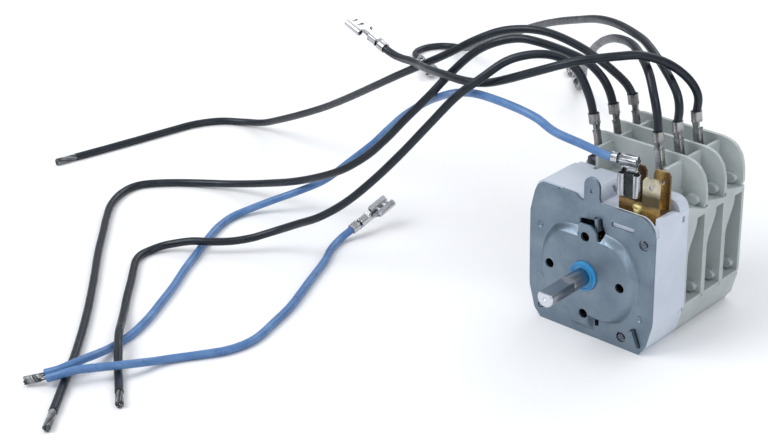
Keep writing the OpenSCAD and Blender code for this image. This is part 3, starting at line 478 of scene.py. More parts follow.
def mat_shaft():
    a = Mat("turned_steel").set(Metallic=1.0, Roughness=0.26)
    rings = a.noise((60, 4200, 60), 2, 0.6)
    c = a.ramp(a.noise((90, 30, 90), 3, 0.5, 0.2), [(0.3, lin(146, 150, 156)), (0.55, lin(154, 158, 164)), (0.8, lin(164, 168, 174))])
    c = a.mix(a.math("MULTIPLY", a.ramp(rings, [(0.35, 0.0), (0.70, 1.0)]), 0.22), c, lin(118, 122, 130))
    sep = a.node("ShaderNodeSeparateXYZ")
    a.link(a.coord, sep.inputs[0])
    # the end face and the last half millimetre are painted near-white: a painted highlight for the light on the end
    # face
    c = a.mix(a.range(sep.outputs[1], 1.0, 0.0, SHAFT_TIP + 0.00045, SHAFT_TIP + 0.0006), c, lin(208, 212, 220))
    a.colour(c)
    a.rough(a.range(rings, 0.27, 0.34, 0.3, 0.7))
    a.normal(a.bump(rings, 0.03, 0.00002))
    return a.m


def mat_sheath(name, c0, c1, c2, rough=0.42, spec=0.5):
    a = Mat(name).set(Roughness=rough)
    a.p.inputs["Specular IOR Level"].default_value = spec
    a.p.inputs["Specular Tint"].default_value = (0.84, 0.93, 1.0, 1)
    a.p.inputs["Coat Weight"].default_value = 0.05
    a.p.inputs["Coat Roughness"].default_value = 0.35
    cloud = a.noise(140, 4, 0.6, 0.5)
    base = a.ramp(cloud, [(0.28, c0), (0.5, c1), (0.74, c2)])
    dust = a.ramp(a.noise(1300, 3, 0.7), [(0.58, 0.0), (0.80, 1.0)])
    # pale streaks mixed towards the lightest tone: painted sheen on the sheath
    painted_sheen = a.ramp(a.noise(52, 3, 0.6, 1.2), [(0.36, 0.0), (0.66, 1.0)])
    base = a.mix(a.math("MULTIPLY", painted_sheen, 0.30), base, c2)
    a.colour(a.mix(a.math("MULTIPLY", dust, 0.16), base, c2))
    a.rough(a.range(a.noise(420, 4, 0.6), rough - 0.10, rough + 0.12, 0.3, 0.7))
    b = a.bump(a.noise(1900, 3, 0.6), 0.22, 0.00004)
    a.normal(a.bump(a.noise(260, 3, 0.5), 0.14, 0.00025, b))
    return a.m


def mat_blue_plastic():
    a = Mat("blue_plastic").set(Roughness=0.28, Subsurface_Weight=0.1, Subsurface_Scale=0.001)
    a.colour(a.ramp(a.noise(300, 3, 0.5), [(0.3, lin(34, 116, 172)), (0.7, lin(52, 142, 194))]))
    a.rough(a.range(a.noise(700, 3, 0.6), 0.22, 0.36, 0.3, 0.7))
    a.normal(a.bump(a.noise(1400, 2, 0.5), 0.1, 0.00004))
    return a.m


def mat_dark(name, c, metal=0.0, rough=0.6):
    a = Mat(name).set(Metallic=metal, Roughness=rough)
    a.colour(a.ramp(a.noise(200, 3, 0.5), [(0.3, c), (0.7, tuple(min(1, x * 1.3) for x in c[:3]) + (1,))]))
    return a.m


ZINC = mat_zinc()
CASE = mat_plastic("case_plastic", lin(185, 193, 206), lin(193, 200, 212), lin(200, 206, 217), 0.40)
WAFER = mat_plastic("wafer_plastic", lin(163, 170, 170), lin(172, 179, 179), lin(182, 188, 188), 0.44)
CAM = mat_plastic("cam_plastic", lin(214, 212, 200), lin(222, 220, 208), lin(228, 226, 216), 0.36)
BRASS = mat_brass()
TIN = mat_tin()
FLAG_ROLLS = mat_drawn("flag_rolls", (1500, 1500, 70))
FLAG_BARREL = mat_drawn("flag_barrel", (90, 1300, 1300))
CRIMP_LEFT = mat_tin("crimp_metal_left", 0.72, 0.28, 0.5)
CRIMP_RIGHT = mat_tin("crimp_metal_right", 0.84, 0.26, 0.3)
STRANDS = [mat_strand("tinned_strand", 1.0), mat_strand("tinned_strand_dull", 0.62), mat_strand("tinned_strand_bright", 1.28), mat_dark("strand_cut", lin(52, 56, 56), 0.6, 0.5)]
STRIP = mat_strip()
SHAFT = mat_shaft()
BLACK = mat_sheath("black_sheath", lin(9, 12, 19), lin(15, 19, 28), lin(29, 34, 44), 0.34, 0.42)
BLUE = mat_sheath("blue_sheath", lin(60, 96, 146), lin(74, 112, 162), lin(96, 132, 178), 0.34)
BUSH = mat_blue_plastic()
SPRING = mat_dark("spring_steel", lin(88, 94, 110), 1.0, 0.35)
PIN = mat_dark("pin_steel", lin(96, 104, 116), 0.9, 0.42)

# ------------------------------------------------------------------ leads

LEAD_D, BLUE_D = 2.9, 2.8
ROUTES = {
    "lead_left_1": [[-17, 9.5, 67.2], [-18, 9, 72], [-19.5, 8, 77], [-21.5, 6.5, 82], [-25, 4.5, 85.5], [-30, 2, 87], [-36, -1.5, 86.5], [-42, -5.5, 84], [-48, -10, 78.5], [-56, -14.2, 70.8], [-64.5, -17.5, 60.3], [-74, -22, 48], [-83, -27, 37], [-92, -32, 27.5], [-102, -35.5, 20], [-113, -36, 14], [-120.5, -37, 10], [-126, -40, 7.4], [-130, -43.5, 5.8], [-135, -48.5, 4.9], [-140.5, -53.5, 4.8], [-146.5, -57.5, 4.7], [-152.5, -61, 3.2], [-156, -64.2, 2.2], [-157.8, -68.4, 1.5], [-157.6, -72.8, 1.5], [-155.5, -77, 1.5], [-151.5, -81.4, 1.5], [-145, -88, 1.5], [-136.5, -97, 1.5], [-129, -104.5, 1.7], [-121, -112.3, 3.1], [-114, -118.8, 4.8], [-108, -124, 4.6], [-104, -127.6, 3], [-100.5, -130.7, 1.6], [-96.5, -133.8, 1.5], [-89.3, -139.5, 1.5]],
    "lead_left_2": [[-17, 20.5, 67.2], [-18.5, 20, 72], [-21, 19, 76.5], [-26, 18, 80.5], [-32, 16, 83], [-41, 12.5, 85.5], [-49, 10, 86], [-57, 7, 83.5], [-65.5, 5.6, 78], [-73.5, 3, 69.5], [-79.6, -1.5, 61], [-87.7, -4.5, 51.5], [-96, -7, 41.7], [-105, -8.5, 33], [-118, -10, 24], [-139, -9, 14], [-158, -9.5, 7.5], [-175, -12, 3.2], [-190, -18.5, 1.6], [-200, -26.5, 1.5], [-205.5, -34, 1.5], [-205, -42.5, 1.5], [-200, -52, 1.5], [-192, -61, 1.5], [-182, -71, 1.5], [-171, -82, 1.5], [-155, -97, 1.5], [-136, -115.5, 1.5], [-119.5, -133, 1.5], [-107, -147.5, 1.5], [-96.2, -160.1, 1.5]],
    "lead_left_3": [[-17, 31.5, 67.2], [-19.5, 31.3, 70.5], [-24, 31, 73.5], [-30, 30.7, 76.5], [-37, 30, 79.5], [-45, 28, 82.3], [-52, 26, 83.6], [-60, 24, 83], [-68, 22, 80.7], [-77, 20, 76], [-88, 18.3, 69], [-100, 18, 62], [-113, 19, 54.5], [-129, 22, 45], [-146, 26, 35], [-163, 30, 25.5], [-180, 33, 17], [-196, 36, 9.5], [-209, 38, 4], [-220, 37, 1.8], [-229, 32, 1.5], [-235, 23, 1.5], [-238, 11, 1.5], [-241, -4, 1.5], [-244, -18, 1.5], [-247.2, -32, 1.5]],
    "lead_right_1": [[8.6, 9.5, 67.2], [7.8, 9.7, 73], [5.6, 10.6, 79], [1, 14, 84.6], [-6, 19.5, 87.1], [-14.5, 26, 87.5], [-26.5, 35, 84], [-39, 46, 77.5], [-51.5, 58, 69], [-64, 72, 59.3], [-77, 87, 49], [-91, 105, 37], [-106, 125, 23.7], [-118.5, 141, 12.5], [-127.5, 152, 5.3], [-133, 158.5, 2.4], [-137, 163, 2.3]],
    "lead_right_2": [[8.6, 20.5, 67.2], [8.8, 20.7, 72], [7.4, 21.4, 76.2], [3.6, 23.3, 79.6], [-3, 27.3, 82.5], [-12, 33.5, 84.5], [-20, 39, 84.8], [-36, 49, 83], [-52, 59, 78.7], [-69.5, 70, 71.6], [-87.5, 81, 63.8], [-108, 94, 53.8], [-137.5, 114, 37.7], [-162, 132, 24.3], [-182, 146.5, 13.5], [-196.5, 157, 6], [-205.5, 162.3, 2.9], [-211, 162.9, 2], [-216.2, 160.6, 1.6], [-219.7, 155.6, 1.5], [-220, 149.4, 1.5], [-216.6, 143.7, 1.8], [-209, 139, 2.2]],
    "lead_right_3": [[8.6, 31.5, 67.2], [9, 31.2, 73], [7.3, 29.5, 78], [4.5, 25.5, 83], [1.8, 19.5, 87.3], [-1.5, 12.5, 90.4], [-6, 7, 90.6], [-11.3, 3, 89.8], [-17, -0.5, 88.5], [-23.5, -3, 86], [-33.5, -4.5, 81.5], [-44.5, -5.5, 76.6], [-52, -5.5, 74], [-61, -5, 72.6], [-72.5, -1.5, 70.9], [-84.5, 4.5, 68], [-96, 12, 64.8], [-104, 16.2, 63.2], [-110, 18.7, 61.9], [-114.8, 20.3, 61.4], [-118.5, 21, 61.8], [-121.2, 21.2, 62.7]],
    "lead_blue_main": [[6.2, -10.7, 65], [3.3, -11.3, 65.1], [-4.6, -12.7, 67], [-14.6, -14.2, 69.1], [-21.5, -14.4, 71.9], [-28.5, -14.2, 73.1], [-39.1, -12.6, 73.1], [-50, -9.7, 71.7], [-58.7, -7.2, 69.4], [-68.3, -2.8, 65.2], [-80.8, 2.6, 58.5], [-90.3, 5.4, 52.5], [-99.7, 6.3, 45.3], [-107.6, 6.4, 37.8], [-114, 5, 31], [-124.5, 2, 21.2], [-132, -2.5, 14], [-140, -8, 9.2], [-148, -14.5, 5.2], [-153.8, -21.5, 2.3], [-155.4, -30, 1.45], [-153, -39, 1.45], [-149, -47.5, 1.45], [-142, -60.5, 1.45], [-136.5, -70.5, 1.45], [-130, -81.3, 1.45], [-124.3, -92, 1.45], [-119, -102.3, 1.45], [-115.2, -112, 1.45], [-113.6, -119.5, 1.5], [-112, -125.5, 2.3], [-110.6, -131, 3.5], [-109.9, -136, 4.4], [-109.7, -140, 4.8], [-110.2, -143.4, 4.7], [-111.7, -146.4, 4], [-114.2, -149, 3.2]],
    "lead_blue_branch": [[-111.2, -150.5, 3.2], [-109, -148.4, 4], [-107.1, -145.9, 4.7], [-105.5, -142.8, 4.9], [-103.4, -139.6, 4.8], [-100.6, -136, 4.8], [-97.8, -131.9, 4.6], [-95.8, -127, 3.8], [-94.6, -121, 2.3], [-92, -114.5, 1.5], [-87, -107, 1.45], [-82.7, -100, 1.45], [-80.8, -92.5, 1.45], [-81.3, -86, 1.45], [-83.2, -79.5, 1.45], [-87.5, -66, 1.45], [-92, -56, 1.45], [-96.5, -46.5, 1.45], [-102.5, -33.5, 1.45], [-107.3, -25.2, 1.45], [-110.3, -17, 1.7], [-109.6, -11.5, 3.7]],
}
BARE_AT_END = {"lead_left_1", "lead_left_2", "lead_left_3", "lead_blue_main"}
BARE_AT_START = {"lead_blue_branch"}
leads, lead_path, lead_length = {}, {}, {}


def make_lead(name, d, mat):
    path, total = resample(catmull(ROUTES[name]), 1.0)
    r = d / 2
    lrng = random.Random(sum(map(ord, name)))
    phase = [lrng.uniform(0, 6.28) for _ in range(4)]
    radius = []
    for i in range(len(path)):
        s = total * i / (len(path) - 1)
        radius.append(r * (1 + 0.008 * math.sin(s / 7 + phase[0]) + 0.006 * math.sin(s / 2.3 + phase[1])))
    fr = carried_frames(path)
    verts, faces = tube_data(path, radius, 20, close=False, frames=fr)
    sides = 20

    def cut_end(i, outward):
        """The sheath's cut end: a small lip, the cut face and the mouth that the strands come out of."""
        t, u, w = fr[i]
        loops = []
        start = len(verts)
        for rr, dx in ((r * 1.03, 0.12), (r * 0.98, 0.28), (r * 0.84, 0.20), (r * 0.82, -1.2), (0.001, -1.2)):
            for k in range(sides):
                a = 2 * math.pi * k / sides
                wob = 1 + 0.02 * math.sin(3 * a + phase[2])
                verts.append(path[i] + outward * dx * t + rr * wob * (math.cos(a) * u + math.sin(a) * w))
            loops.append(start)
            start += sides
        prev = sides * i
        for n0 in loops:
            for k in range(sides):
                k2 = (k + 1) % sides
                q = (prev + k, prev + k2, n0 + k2, n0 + k)
                faces.append(q if outward > 0 else q[::-1])
            prev = n0

    if name in BARE_AT_END:
        cut_end(len(path) - 1, 1)
    else:
        faces.append(tuple(sides * (len(path) - 1) + k for k in range(sides)))
    if name in BARE_AT_START:
        cut_end(0, -1)
    else:
        faces.append(tuple(range(sides - 1, -1, -1)))
    ob = new_mesh("sheath_" + name[5:], [v * MM for v in verts], faces, mat, 60)
    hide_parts(name)
    leads[name], lead_path[name], lead_length[name] = ob, path, total
    return ob


for key in ROUTES:
    blue = "blue" in key
    make_lead(key, BLUE_D if blue else LEAD_D, BLUE if blue else BLACK)

# ------------------------------------------------------------------ bare strands


def bundle_points(rings):
    """Places of the strands across a bundle, in strand diameters."""
    out = [(0.0, 0.0)]
    for k in range(1, rings + 1):
        for i in range(6 * k):
            a = 2 * math.pi * i / (6 * k) + 0.3 * k
            out.append((k * math.cos(a), k * math.sin(a)))
    return out


def strand_bundle(b, path, rings, r, turns, flare, seed, index=0, loose=0.05, ragged=0.5, tight=None):
    """Fine strands laid round a path; flare is how much wider they stand at the end, and tight draws them together.
    The materials from index on are the three tones and the cut."""
    srng = random.Random(seed)
    fr = carried_frames(path)
    n = len(path)
    for px, py in bundle_points(rings):
        wob = [srng.uniform(-1, 1) for _ in range(4)]
        cut = srng.uniform(0, ragged)
        line = []
        for i, p in enumerate(path):
            s = i / (n - 1)
            a = 2 * math.pi * turns * s
            grow = (1 + flare * s * s) * (tight[i] if tight else 1)
            x, y = px * 2 * r * grow, py * 2 * r * grow
            x += loose * wob[0] * math.sin(3 * s + wob[1]) + loose * 1.5 * wob[2] * s * s
            y += loose * wob[1] * math.cos(3 * s + wob[0]) + loose * 1.5 * wob[3] * s * s
            t, u, w = fr[i]
            line.append(p - (cut * t if i == n - 1 else Vector()) + u * (x * math.cos(a) - y * math.sin(a)) + w * (x * math.sin(a) + y * math.cos(a)))
        v, f = tube_data(line, [r * k for k in tight] if tight else r, 6)
        tone = index + srng.choice((0, 0, 0, 1, 1, 2, 2))
        b.add(v, f, None, [tone] * (len(f) - 1) + [srng.choice((tone, index + 3, index + 3))])


def lead_end(name, end=True):
    """Point and outward direction of a lead's end."""
    p = lead_path[name]
    return (p[-1], (p[-1] - p[-3]).normalized()) if end else (p[0], (p[0] - p[2]).normalized())


for i, (key, length) in enumerate((("lead_left_1", 7.8), ("lead_left_2", 10.2), ("lead_left_3", 9.0))):
    p, d = lead_end(key)
    sag = Vector((0, 0, -0.02))
    line = [p + d * (-1.0 + (length + 1.0) * t) + sag * t * t * 10 * (0 if key == "lead_left_3" else 1) for t in (j / 14 for j in range(15))]
    line = [Vector((q.x, q.y, max(q.z, 1.46 + 0.12 * j / 14))) for j, q in enumerate(line)]
    b = Build()
    strand_bundle(b, line, 3, 0.180, (0.12, 0.35, 0.5)[i], (0.16, 0.08, 0.08)[i], 20 + i, loose=0.07)
    name = "bare_left_" + key[-1]
    b.make("strands_left_" + key[-1], STRANDS, 80, "case", MM)
    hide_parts(name)

# the two blue leads' strands, twisted together
b = Build()
pa, da = lead_end("lead_blue_main")
pb, db = lead_end("lead_blue_branch", False)
axis = Vector((-0.66, -0.75, -0.16)).normalized()
mid = Vector((-112.8, -149.8, 3.15))
side = (pa - pb)
side = (side - side.dot(axis) * axis).normalized()
lift = axis.cross(side)
for (p0, d0, ph, seed) in ((pa, da, 0.0, 41), (pa, da, 0.5 * math.pi, 43), (pb, db, math.pi, 42), (pb, db, 1.5 * math.pi, 44)):
    line = []
    for j in range(37):
        s = j / 36
        q = mid + axis * (2.3 + 4.8 * s) - Vector((0, 0, 0.15))
        a = ph - 0.8 + 2 * math.pi * 1.25 * s
        line.append(q + 0.92 * (math.cos(a) * side + math.sin(a) * lift))
    off = 0.35 * (math.cos(ph) * side + math.sin(ph) * lift)
    start = [p0 - d0 * 1.0 + off, p0 + d0 * 0.25 + off]
    full, total = resample(catmull(start + line[::3]), 0.40)
    free = (line[0] - p0).length + 1.0
    tight = [0.50 + 0.52 * min(1, max(0, (total * i / (len(full) - 1) - free + 0.9) / 1.2)) for i in range(len(full))]
    full = [Vector((q.x, q.y, max(q.z, 0.9))) for q in full]
    strand_bundle(b, full, 1, 0.205, 1.5, 0.03, seed, loose=0.03, ragged=0.3, tight=tight)
b.make("strands_blue", STRANDS, 80, "case", MM)
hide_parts("bare_blue")

# ------------------------------------------------------------------ receptacles on the leads


def arc(cx, cy, r, a0, a1, n):
    return [(cx + r * math.cos(math.radians(a0 + (a1 - a0) * i / n)), cy + r * math.sin(math.radians(a0 + (a1 - a0) * i / n))) for i in range(n + 1)]


def roll_profile(half, z0, r, floor_cuts=(1.65,)):
    """Floor and two rolled edges of a push-on receptacle, across its axis."""
    c = half - r
    right_side = [(x, z0) for x in floor_cuts] + arc(c, z0 + r, r, -90, 60, 9)[0:] + arc(c - 0.06, z0 + r, r - 0.06, 75, 205, 8)
    left_side = [(-x, y) for x, y in reversed(right_side)]
    return left_side + right_side


def wing_profile(w, bottom, height, curl, n=10):
    """Open barrel crimped round a lead: w is its half width, curl how far the wings close (degrees past the side)."""
    side = arc(0, bottom + w, w, -90, curl, n)
    return [(-x, y) for x, y in reversed(side[1:])] + side


def b_profile(w, bottom, height, n=6):
    """Conductor crimp: two wings folded over and down into the strands."""
    k = w * 0.5
    right_side = [(0.0, bottom), (w * 0.55, bottom + 0.02)] + arc(w - 0.45, bottom + 0.47, 0.45, -70, 0, 3) + [(w, bottom + height * 0.62)] + arc(k, bottom + height - k, k, 10, 150, 7) + [(0.1, bottom + height - k - 0.35)]
    return [(-x, y) for x, y in reversed(right_side[1:])] + right_side


def build_receptacle(b, place, long_wing=0.0):
    """Lead end at the origin, mouth towards +X, floor below. Millimetres."""
    X, Y, Z = Vector((1, 0, 0)), Vector((0, 1, 0)), Vector((0, 0, 1))
    t = 0.4
    z0 = -1.6
    # push-on body with two windows in its floor
    xs = [11.7, 11.95, 14.1, 15.2, 17.0, 18.1, 19.25, 19.5]
    st = []
    for i, x in enumerate(xs):
        half = 3.62 if 0 < i < len(xs) - 1 else 3.55
        st.append((X * x, Y, Z, roll_profile(half, z0, 1.12)))
    npt = len(st[0][3])
    mid_cell = npt // 2 - 1
    v, f = sheet_data(st, t, {(2, mid_cell), (4, mid_cell)})
    b.add(v, f, place)
    # neck that narrows to the barrels
    st = []
    for x, w, rise, zz in ((12.2, 2.1, 0.0, z0), (11.6, 2.1, 0.1, z0), (10.9, 1.75, 0.6, z0), (10.0, 1.45, 0.85, z0 + 0.05), (9.2, 1.36, 1.0, z0 + 0.1), (8.5, 1.38, 1.15, z0 + 0.1)):
        pts = [(-w, zz + rise), (-w * 0.96, zz + rise * 0.5), (-w * 0.8, zz + rise * 0.1), (-w * 0.4, zz), (0, zz), (w * 0.4, zz), (w * 0.8, zz + rise * 0.1), (w * 0.96, zz + rise * 0.5), (w, zz + rise)]
        st.append((X * x, Y, Z, pts))
    v, f = sheet_data(st, 0.36)
    b.add(v, f, place)
    # conductor crimp, with bell mouths
    st = []
    for x, g in ((8.6, 1.10), (8.2, 1.02), (7.6, 1.0), (5.4, 1.0), (4.8, 1.03), (4.4, 1.12)):
        st.append((X * x, Y, Z, [(p[0] * g, z0 + 0.12 + (p[1] - z0) * g) for p in b_profile(1.42, z0, 2.5)]))
    v, f = sheet_data(st, 0.36)
    b.add(v, f, place)
    # bridge between the barrels
    st = []
    for x, w, zz in ((4.5, 1.2, z0 + 0.08), (3.9, 1.25, z0 - 0.05), (3.1, 1.5, z0 - 0.2)):
        pts = [(-w, zz + 0.75), (-w * 0.9, zz + 0.28), (-w * 0.5, zz + 0.03), (0, zz), (w * 0.5, zz + 0.03), (w * 0.9, zz + 0.28), (w, zz + 0.75)]
        st.append((X * x, Y, Z, pts))
    v, f = sheet_data(st, 0.36)
    b.add(v, f, place)
    # insulation crimp: wings round the sheath, tips standing a little open
    st = []
    for x, w, curl in ((3.3, 1.74, 118), (3.0, 1.72, 124), (0.4, 1.72, 124), (0.05, 1.78, 118)):
        st.append((X * x, Y, Z, wing_profile(w, -w, 0, curl - 30, 12)))
    v, f = sheet_data(st, 0.36)
    b.add(v, f, place)


def far_place(key):
    r = ROUTES[key]
    a, c = Vector(r[-1]), Vector(r[-1]) - Vector(r[-2])
    return aim(a, c) @ Matrix.Translation((-0.4, 0, 0))


def make_receptacle(key, node, shift=0.0, roll_deg=0.0):
    b = Build()
    place = far_place(key) @ Matrix.Translation((0, 0, shift)) @ Matrix.Rotation(math.radians(roll_deg), 4, "X")
    build_receptacle(b, place)
    # strands seen between the barrels
    line = [place @ Vector((x, 0, -0.35)) for x in (1.5, 3.0, 4.0, 5.0, 6.5, 8.0, 9.0)]
    strand_bundle(b, line, 2, 0.16, 0.4, 0.0, 60, index=1, loose=0.02, ragged=0.4)
    ob = b.make(node.replace("receptacle", "push_on"), [TIN] + STRANDS, 40, "case", MM)
    soften(ob, 0.05, 1, 50)
    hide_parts(node)
    return ob


make_receptacle("lead_right_1", "receptacle_right_1")
make_receptacle("lead_right_2", "receptacle_right_2", 0.6)
make_receptacle("lead_right_3", "receptacle_right_3", 0.0, 180.0)
make_receptacle("lead_blue_branch", "receptacle_blue")

# ------------------------------------------------------------------ lead terminals in the wafers

POCKET_Y = [18.4 + 5 + k * 11.0 for k in range(3)]
ROWS = {"left": (-14.6, 31.6, 10.6), "right": (10.2, 31.8, 8.0)}


def build_crimp(b, place, turned):
    """A lead terminal: blade below, conductor crimp, window with strands, insulation crimp on top. Axis +Z."""
    U, V, Z = Vector((1, 0, 0)), Vector((0, 1, 0)), Vector((0, 0, 1))
    if turned:
        U, V = Vector((0, 1, 0)), Vector((-1, 0, 0))
    t = 0.34
    # neck from the flat blade to the round barrel
    st = []
    for z, w, rise in ((-1.0, 1.35, 0.0), (-0.2, 1.35, 0.1), (0.5, 1.25, 0.7), (1.1, 1.2, 1.1)):
        pts = [(-w, -1.05 + rise), (-w * 0.95, -1.05 + rise * 0.45), (-w * 0.7, -1.05 + rise * 0.08), (0, -1.05), (w * 0.7, -1.05 + rise * 0.08), (w * 0.95, -1.05 + rise * 0.45), (w, -1.05 + rise)]
        st.append((Z * z, U, V, pts))
    v, f = sheet_data(st, t)
    b.add(v, f, place)
    # conductor crimp
    st = []
    for z, g in ((0.9, 1.12), (1.3, 1.03), (2.0, 1.0), (5.6, 1.0), (6.3, 1.04), (6.8, 1.14)):
        st.append((Z * z, U, V, [(p[0] * g, -1.1 + (p[1] + 1.1) * g) for p in (b_profile(1.0, -1.25, 1.8) if turned else b_profile(1.26, -1.1, 2.3))]))
    v, f = sheet_data(st, t)
    b.add(v, f, place)
    # bridge
    st = []
    for z, w, y in ((6.6, 1.1, -1.12), (7.6, 1.05, -1.2), (8.6, 1.2, -1.35), (9.6, 1.5, -1.6)):
        pts = [(-w, y + 0.8), (-w * 0.9, y + 0.3), (-w * 0.5, y + 0.03), (0, y), (w * 0.5, y + 0.03), (w * 0.9, y + 0.3), (w, y + 0.8)]
        st.append((Z * z, U, V, pts))
    v, f = sheet_data(st, t)
    b.add(v, f, place)
    # insulation crimp
    st = []
    for z, w, curl in ((9.3, 1.78, 84), (9.6, 1.72, 92), (12.3, 1.72, 92), (12.7, 1.80, 86)):
        st.append((Z * z, U, V, wing_profile(w, -w, 0, curl, 12)))
    v, f = sheet_data(st, t)
    b.add(v, f, place)
    line = [place @ Vector((0, 0, z)) for z in (0.6, 2, 4, 6, 7.5, 9, 10.5)]
    strand_bundle(b, line, 2, 0.16, 0.5, 0.0, 80, index=1, loose=0.02, ragged=0.4)


def make_terminal(side, k):
    x, z, lean = ROWS[side]
    b = Build()
    place = PLACE_MM @ Matrix.Translation((x, POCKET_Y[k], z)) @ Matrix.Rotation(math.radians(-lean), 4, "Y")
    build_crimp(b, place, side == "left")
    # blade down into the wafer
    x0, x1, z0, z1 = (-18.5, -15.1, 22.6, 31.6) if side == "left" else (7.9, 12.5, 16.6, 31.6)
    cx = -14.6 if side == "left" else 10.2
    st = []
    if side == "left":
        # the flat turns a quarter on its way up to the barrel
        for zz, mx, half, turn in ((z0, -16.8, 1.7, 0), (z1 - 3.4, -16.8, 1.7, 0), (z1 - 2.6, -16.2, 1.55, 22), (z1 - 1.8, -15.3, 1.4, 48), (z1 - 1.0, -14.4, 1.35, 72), (z1 - 0.3, -13.75, 1.35, 90), (z1 + 0.1, -13.65, 1.35, 90)):
            q = math.radians(turn)
            st.append((Vector((mx, -0.1, zz)), Vector((math.cos(q), math.sin(q), 0)), Vector((-math.sin(q), math.cos(q), 0)), [(-half + half * i / 2, 0) for i in range(5)]))
    else:
        for zz, a0, a1 in ((z0, x0, x1), (z1 - 3.2, x0, x1), (z1 - 1.8, cx - 1.35, cx + 1.35), (z1, cx - 1.35, cx + 1.35)):
            st.append((Vector((0, 0, zz)), Vector((1, 0, 0)), Vector((0, 1, 0)), [(a0 + (a1 - a0) * i / 4, -0.95 if zz > z1 - 2.5 else -0.1) for i in range(5)]))
    v, f = sheet_data(st, 0.6)
    b.add(v, f, PLACE_MM @ Matrix.Translation((0, POCKET_Y[k], 0)))
    node = f"{side}_terminal_{k + 1}"
    ob = b.make("crimp_" + node, [CRIMP_LEFT if side == "left" else CRIMP_RIGHT] + STRANDS, 40, "case", MM)
    soften(ob, 0.04, 1, 50)
    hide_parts(node)
    return ob


PLACE_MM = Matrix.Translation((0, FACE_Y, AXIS_H))
terminals = {(s, k): make_terminal(s, k) for s in ROWS for k in range(3)}

# ------------------------------------------------------------------ front plate

PLATE_W, TOP_L, TOP_R, TAB_TOP, TAB_W = 24.6, 26.3, 25.7, 33.8, 6.0


def circle_points(x, z, r, n, a0=0.0, a1=360.0):
    full = abs(a1 - a0) > 359
    return [(x + r * math.cos(math.radians(a0 + (a1 - a0) * i / n)), z + r * math.sin(math.radians(a0 + (a1 - a0) * i / n))) for i in range(n if full else n + 1)]


def box_points(x, z, w, h, a=0.0):
    c, s = math.cos(math.radians(a)), math.sin(math.radians(a))
    return [(x + u * c + v * s, z - u * s + v * c) for u, v in ((-w / 2, -h / 2), (w / 2, -h / 2), (w / 2, h / 2), (-w / 2, h / 2))]


def rounded_loop(points, r, n=4):
    """The corners of a closed outline cut with small arcs."""
    out = []
    m_ = len(points)
    for i in range(m_):
        p, a, b = Vector(points[i]), Vector(points[i - 1]), Vector(points[(i + 1) % m_])
        u, v = (a - p), (b - p)
        k = min(r, u.length * 0.45, v.length * 0.45)
        p0, p1 = p + u.normalized() * k, p + v.normalized() * k
        for j in range(n + 1):
            t = j / n
            q = (1 - t) ** 2 * p0 + 2 * t * (1 - t) * p + t * t * p1
            out.append((q.x, q.y))
    return out


def spaced_loop(points, step):
    out = []
    for i in range(len(points)):
        a, b = Vector(points[i]), Vector(points[(i + 1) % len(points)])
        n = max(1, round((b - a).length / step))
        out += [tuple(a.lerp(b, j / n)) for j in range(n)]
    return out


def plate_loops():
    w, tr, tl = PLATE_W, TOP_R, TOP_L
    h = TAB_W / 2
    edge = [(-w + 0.1, -12.5), (-w + 2.2, -20.4), (-w + 4.8, -23.4), (w - 4.4, -23.4), (w - 2.2, -20.4), (w - 0.1, -12.5), (w, -10)]
    edge += circle_points(w - 6.1, tr - 6.1, 6.1, 14, 0, 90)
    edge += [(h + 1.3, tr), (h + 0.5, tr + 0.3), (h, tr + 1.5)] + circle_points(0, TAB_TOP - h, h, 20, 0, 180)
    edge += [(-h, tr - 0.9), (-h - 1.0, tr - 0.8), (-h - 3.2, tl), (-12.2, tl + 0.2), (-12.6, tl - 0.5), (-13.2, tl), (-w + 4.4, tl), (-w + 3.0, tl - 1.0), (-w + 1.9, tl - 3.2), (-w + 0.9, tl - 7), (-w, tl - 11), (-w, -10)]
    holes = [circle_points(0, 0, 5.15, 56)]
    holes += [circle_points(14 * math.cos(a), 14 * math.sin(a), 1.65, 32) for a in (0, math.pi / 2, math.pi, 1.5 * math.pi)]
    holes += [circle_points(20.6, 16.2, 1.8, 32), circle_points(13.2, -19.4, 1.8, 32)]
    holes += [rounded_loop([(8.0, 19.1), (16.8, 19.1), (16.8, 20.8), (8.0, 20.8)], 0.6)]
    holes += [rounded_loop([(-3.9, 18.1), (-2.3, 18.25), (2.1, 18.25), (3.6, 17.3), (4.5, 15.8), (4.6, 14.5), (5.1, 13.4), (5.8, 13.9), (6.0, 15.2), (5.6, 16.6), (4.8, 18.2), (4.4, 20.5), (1.8, 20.6), (1.2, 19.2), (-2.2, 18.85), (-3.9, 18.6)], 0.3)]
    holes += [rounded_loop([(2.7, -18.6), (4.2, -18.6), (4.2, -15.6), (2.7, -15.6)], 0.25)]
    holes += [[(-0.65, 28.4), (0.35, 28.5), (-0.35, 30.2)]]
    holes += [rounded_loop(box_points(18.9, -17.9, 2.2, 6.6, -22), 0.3), rounded_loop(box_points(-18.4, -18.5, 1.7, 4.9, 72), 0.3)]
    return spaced_loop(rounded_loop(edge, 0.35, 2), 1.4), [spaced_loop(q, 0.7) for q in holes]


def step_up(d, wide):
    """Side of a pressed shape: 0 at its foot, 1 on top, d inwards from the foot."""
    t = np.clip(d / wide, 0, 1) ** 0.82
    return t * t * (3 - 2 * t)


def inside_both(a, b, k):
    return np.maximum(k, np.minimum(a, b)) - np.hypot(np.maximum(k - a, 0), np.maximum(k - b, 0))


def field_depth(x, z):
    band = np.minimum(16.0 - z, z + 16.6)
    return inside_both(19.4 - np.hypot(x, z), band, 3.4)


